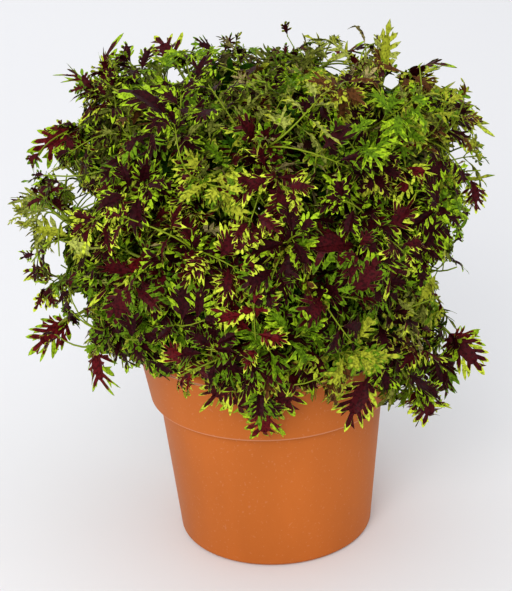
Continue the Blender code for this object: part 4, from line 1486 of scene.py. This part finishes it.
class COLEUS_OT_pot(bpy.types.Operator):
    """Build the banded pot with its rounded lip, stacking shelf and drain holes"""

    bl_idname = "coleus.pot"
    bl_label = "Pot"

    def profile(self, rim):
        """The wall's (radius, height) outline: underside, outside, lip, and down the inside to the floor."""
        top = POT_BOX[1].z
        lip_foot = top - LIP_HEIGHT
        lip_width = rim - RIM_LINE - RIM_MOUTH_RADIUS
        wall, band, foot = BODY_TOP_RADIUS, BAND_FOOT_RADIUS, BAND_FOOT_HEIGHT
        rounding, shelf = FOOT_ROUNDING, BAND_FOOT_HEIGHT + WALL
        profile = [(0.0, 0.0), (FOOT_RADIUS / 2, 0.0)]
        profile += quarter_arc(FOOT_RADIUS - rounding, rounding, rounding, rounding, -90, FOOT_ARC_STEPS)
        profile += [(wall - CROOK_INSET, foot - CROOK_DROP), (wall, foot - CROOK_ROUNDING)]
        profile += [(wall + CROOK_ROUNDING, foot)]
        profile += quarter_arc(band - EDGE, foot + EDGE, EDGE, EDGE, -90, BAND_ARC_STEPS)
        profile += [(rim - inset, lip_foot - drop) for inset, drop in BAND_TOP_STEPS]
        profile += [(rim - RIM_LINE, lip_foot + RIM_LINE_RISE)]
        lip_height = LIP_HEIGHT - RIM_LINE
        mouth, base = RIM_MOUTH_RADIUS, lip_foot + RIM_LINE
        profile += quarter_arc(mouth, base, lip_width, lip_height, 0, LIP_ARC_STEPS)
        profile += [(mouth - MOUTH_ROUNDING, top - MOUTH_ROUNDING)]
        profile += [(band - WALL, shelf + SHELF_ROUNDING), (wall - WALL, shelf)]
        profile += [(FOOT_RADIUS - WALL, 2 * WALL), (FOOT_RADIUS - 2 * WALL, WALL), (0.0, WALL)]
        return profile

    def cut_drain_holes(self, pot):
        """Cuts a ring of holes through the pot's floor."""
        bm = bmesh.new()
        for k in range(DRAIN_HOLES):
            angle = math.tau * k / DRAIN_HOLES
            radii = {"radius1": DRAIN_HOLE_RADIUS, "radius2": DRAIN_HOLE_RADIUS}
            drill = bmesh.ops.create_cone(bm, cap_ends=True, segments=DRILL_SIDES, depth=4 * WALL, **radii)
            place = Vector((math.cos(angle), math.sin(angle), 0.0)) * DRAIN_RING_RADIUS
            bmesh.ops.translate(bm, vec=place, verts=drill["verts"])
        mesh = bpy.data.meshes.new("drain_drills")
        bm.to_mesh(mesh)
        bm.free()
        drills = bpy.data.objects.new("drain_drills", mesh)
        bpy.context.scene.collection.objects.link(drills)
        cut = pot.modifiers.new("drain_holes", "BOOLEAN")
        cut.operation = "DIFFERENCE"
        cut.solver = "EXACT"
        cut.object = drills
        graph = bpy.context.evaluated_depsgraph_get()
        pot.data = bpy.data.meshes.new_from_object(pot.evaluated_get(graph))
        pot.modifiers.clear()
        bpy.data.objects.remove(drills)

    def execute(self, context):
        sizes, colours = context.scene.coleus_sizes, context.scene.coleus_colours
        mesh = turned_mesh("pot_shell", self.profile(sizes.rim_radius), sizes.pot_segments)
        pot = add_piece("pot_shell", mesh, pot_plastic(colours.plastic), "pot_plastic", "pot")
        self.cut_drain_holes(pot)
        pot.data.shade_smooth()
        pot.data.set_sharp_from_angle(angle=POT_CREASE)
        return {"FINISHED"}


class COLEUS_OT_compost(bpy.types.Operator):
    """Fill the pot with crumbly compost, dished towards the wall"""

    bl_idname = "coleus.compost"
    bl_label = "Compost"

    def surface_points(self, wall):
        """The top's points, ring by ring from the middle: a dish with lumps and crumbs, smooth at the stem.
        Wall is its outer radius."""
        dice = np.random.default_rng(SEED)
        radii = np.linspace(COMPOST_HEART_RADIUS, wall, COMPOST_RINGS)
        turns = np.arange(COMPOST_SIDES) * math.tau / COMPOST_SIDES
        radius, turn = np.meshgrid(radii, turns, indexing="ij")
        dish = np.interp(radius, [0, STEM_SEAT_RADIUS, COMPOST_SHOULDER_RADIUS, wall], [0, 0, 1 / 3, 1])
        crumbs = dice.uniform(-1, 1, radius.shape) * CRUMB_HEIGHT
        outward_waves = np.sin(radius * LUMP_WAVES_OUT + LUMP_SWAY * np.sin(turn * LUMP_SWAY_TURNS))
        lumps = LUMP_HEIGHT * outward_waves * np.sin(turn * LUMP_WAVES_ROUND + radius * LUMP_SPIRAL)
        marks = [0, STEM_FOOT_RADIUS + SMOOTH_MARGIN, STEM_SEAT_RADIUS + CRUMB_MARGIN]
        settled = np.interp(radius, marks, [0, 0, 1])
        uneven = (crumbs + lumps - LUMP_SINK) * settled
        height = COMPOST_HEIGHT - COMPOST_SINK - COMPOST_DISH * dish + uneven
        return np.stack([radius * np.cos(turn), radius * np.sin(turn), height], -1).reshape(-1, 3)

    def execute(self, context):
        rings, sides = COMPOST_RINGS, COMPOST_SIDES
        wall = BAND_FOOT_RADIUS - WALL + (COMPOST_HEIGHT - BAND_FOOT_HEIGHT) * BAND_FLARE - SEAT_GAP
        top = self.surface_points(wall)
        under = [(x, y, BAND_FOOT_HEIGHT) for x, y, _ in top[-sides:] * COMPOST_UNDER_SHARE]
        middle, floor = len(top), len(top) + 1
        points = list(top) + [(0, 0, COMPOST_HEIGHT - COMPOST_SINK), (0, 0, BAND_FOOT_HEIGHT)] + under
        faces = []
        for k in range(sides):
            after = (k + 1) % sides
            for ring in range(rings - 1):
                a, b = ring * sides + k, ring * sides + after
                faces += [(a, a + sides, b + sides), (a, b + sides, b)]
            faces.append((middle, k, after))
            a, b = (rings - 1) * sides + k, (rings - 1) * sides + after
            c, d = floor + 1 + k, floor + 1 + after
            faces += [(a, c, d), (a, d, b), (floor, d, c)]
        surface = compost_crumbs(context.scene.coleus_colours.crumbs)
        add_piece("compost_fill", mesh_of("compost_fill", points, faces), surface, "compost", "compost")
        return {"FINISHED"}


class COLEUS_OT_limbs(bpy.types.Operator):
    """Grow the square, ribbed main stem and its boughs, with a swelling at every joint"""

    bl_idname = "coleus.limbs"
    bl_label = "Main stem and boughs"

    def ribbed(self, path, radii, joint_step):
        """A square stem with a rounded rib at each corner, hollow faces, and swollen joints."""
        turns = [math.tau * k / RIB_SIDES for k in range(RIB_SIDES)]
        ribs = [RIB_MEAN + RIB_DEPTH * math.cos(4 * turn) for turn in turns]
        run, runs = 0.0, [0.0]
        for a, b in zip(path, path[1:]):
            run += (b - a).length
            runs.append(run)

        def ring_at(station):
            joint = max(0.0, math.cos(math.tau * runs[station] / joint_step)) ** JOINT_SHARPNESS
            radius = radii[station] * (1.0 + JOINT_SWELL * joint)
            return [(turn, radius * rib) for turn, rib in zip(turns, ribs)]

        return tube(path, ring_at)

    def execute(self, context):
        surface = green_stem("stem_skin", context.scene.coleus_colours.stem)
        path = main_stem_path(STEM_FINE_STATIONS)
        radii = [STEM_FOOT_RADIUS] + [stem_radius(p.z) for p in path[1:]]
        mesh = mesh_of("main_stem_skin", *self.ribbed(path, radii, STEM_JOINT_STEP))
        add_piece("main_stem_skin", mesh, surface, "green_stem", "main_stem")
        last = BOUGH_FINENESS * BOUGH_STATIONS - 1
        radii = [BOUGH_RADIUS + (BOUGH_TIP_RADIUS - BOUGH_RADIUS) * k / last for k in range(last + 1)]
        boughs = [mass.fine_bough for mass in grown_foliage().masses if mass.fine_bough]
        shapes = [self.ribbed(path, radii, BOUGH_JOINT_STEP) for path in boughs]
        mesh = mesh_of("bough_skins", *joined(shapes))
        add_piece("bough_skins", mesh, surface, "green_stem", *BOUGH_NODES)
        return {"FINISHED"}


class COLEUS_OT_twigs(bpy.types.Operator):
    """Grow the foliage's stems, twigs, side shoots and leaf stalks"""

    bl_idname = "coleus.twigs"
    bl_label = "Twigs and leaf stalks"

    def execute(self, context):
        colours = context.scene.coleus_colours
        for kind, colour in (("twig", colours.stem), ("petiole", colours.shoot)):
            surface = green_stem(f"{kind}_skin", colour)
            mesh = mesh_of(f"{kind}_run", *joined(grown_foliage().twigs[kind]))
            add_piece(f"{kind}_run", mesh, surface, "green_stem", *FOLIAGE_NODES)
        return {"FINISHED"}


class COLEUS_OT_leaves(bpy.types.Operator):
    """Grow the finely cut leaves, joined tint by tint"""

    bl_idname = "coleus.leaves"
    bl_label = "Leaves"

    def execute(self, context):
        plant = grown_foliage()
        colours = context.scene.coleus_colours
        for tint, shapes in sorted(plant.tints.items()):
            roughness = UNDER_ROUGHNESS if tint.endswith("under") else LEAF_ROUGHNESS
            surface = leaf_skin(f"leaf_{tint}", getattr(colours, tint), *roughness)
            for number, batch in enumerate(in_batches(shapes)):
                name = f"leaf_{tint}_{number + 1}"
                add_piece(name, mesh_of(name, *joined(batch)), surface, "leaf", *FOLIAGE_NODES)
        return {"FINISHED"}


class COLEUS_OT_stage(bpy.types.Operator):
    """Set the plain floor, the soft studio light and the camera"""

    bl_idname = "coleus.stage"
    bl_label = "Stage"

    def add_floor(self, colour):
        """A wide round floor, a hair below the pot's underside."""
        bm = bmesh.new()
        bmesh.ops.create_circle(bm, cap_ends=True, segments=FLOOR_SIDES, radius=FLOOR_RADIUS)
        mesh = bpy.data.meshes.new("floor")
        bm.to_mesh(mesh)
        bm.free()
        made, _, _ = new_material("pale_floor", colour, roughness=0.9, specular=0.2)
        mesh.materials.append(made)
        floor = bpy.data.objects.new("floor", mesh)
        floor.location.z = -FLOOR_GAP
        bpy.context.scene.collection.objects.link(floor)

    def add_light(self, name, place, target, size, power, tint):
        """A soft round light that faces its target."""
        data = bpy.data.lights.new(name, "AREA")
        data.shape = "DISK"
        data.size = size
        data.energy = power
        data.color = tint
        light = bpy.data.objects.new(name, data)
        light.location = place
        light.rotation_mode = "QUATERNION"
        light.rotation_quaternion = (Vector(target) - Vector(place)).to_track_quat("-Z", "Y")
        bpy.context.scene.collection.objects.link(light)

    def add_sky(self, strength):
        """Even, faintly cool light from all round."""
        world = bpy.data.worlds.new("studio_room")
        world.use_nodes = True
        sky = world.node_tree.nodes["Background"]
        sky.inputs["Color"].default_value = (*SKY_TINT, 1.0)
        sky.inputs["Strength"].default_value = strength
        bpy.context.scene.world = world

    def add_camera(self):
        """The camera where the photo was taken from."""
        pitch, roll, yaw = (math.radians(a) for a in CAMERA_TURNS)
        ahead = Vector((math.sin(yaw) * math.cos(pitch), math.cos(yaw) * math.cos(pitch), -math.sin(pitch)))
        level = ahead.cross(UP).normalized()
        above = level.cross(ahead)
        right = level * math.cos(roll) + above * math.sin(roll)
        upward = above * math.cos(roll) - level * math.sin(roll)
        data = bpy.data.cameras.new("view_camera")
        data.sensor_width = SENSOR
        data.lens = CAMERA_FOCUS * SENSOR
        data.clip_start, data.clip_end = CLIP_RANGE
        camera = bpy.data.objects.new("view_camera", data)
        turn = Matrix((right, upward, -ahead)).transposed().to_4x4()
        camera.matrix_world = Matrix.Translation(CAMERA_PLACE) @ turn
        bpy.context.scene.collection.objects.link(camera)
        bpy.context.scene.camera = camera

    def execute(self, context):
        stage = context.scene.coleus_stage
        context.scene.view_settings.view_transform = "Standard"
        context.scene.view_settings.look = "Medium High Contrast"
        self.add_floor(stage.floor)
        self.add_light("key_light", *KEY_PLACE, KEY_SIZE, stage.key_power, KEY_TINT)
        self.add_light("back_light", *BACK_PLACE, BACK_SIZE, stage.back_power, BACK_TINT)
        self.add_sky(stage.sky_strength)
        self.add_camera()
        return {"FINISHED"}


PIECES = (
    COLEUS_OT_pot,
    COLEUS_OT_compost,
    COLEUS_OT_limbs,
    COLEUS_OT_twigs,
    COLEUS_OT_leaves,
    COLEUS_OT_stage,
)


class COLEUS_PT_panel(bpy.types.Panel):
    """The sizes, colours and buttons of the potted coleus"""

    bl_label = "Potted Coleus"
    bl_idname = "COLEUS_PT_panel"
    bl_space_type = "VIEW_3D"
    bl_region_type = "UI"
    bl_category = "Coleus"

    def draw(self, context):
        layout = self.layout
        for group in (context.scene.coleus_sizes, context.scene.coleus_colours, context.scene.coleus_stage):
            box = layout.box()
            for name in group.__annotations__:
                box.prop(group, name)
        for piece in PIECES:
            layout.operator(piece.bl_idname)


CLASSES = (ColeusSizes, ColeusColours, ColeusStage, *PIECES, COLEUS_PT_panel)


def register():
    for made in CLASSES:
        bpy.utils.register_class(made)
    bpy.types.Scene.coleus_sizes = PointerProperty(type=ColeusSizes)
    bpy.types.Scene.coleus_colours = PointerProperty(type=ColeusColours)
    bpy.types.Scene.coleus_stage = PointerProperty(type=ColeusStage)


def unregister():
    del bpy.types.Scene.coleus_stage
    del bpy.types.Scene.coleus_colours
    del bpy.types.Scene.coleus_sizes
    for made in reversed(CLASSES):
        bpy.utils.unregister_class(made)


def main():
    register()
    bpy.ops.coleus.pot()
    bpy.ops.coleus.compost()
    bpy.ops.coleus.limbs()
    bpy.ops.coleus.twigs()
    bpy.ops.coleus.leaves()
    bpy.ops.coleus.stage()


if __name__ == "__main__":
    main()
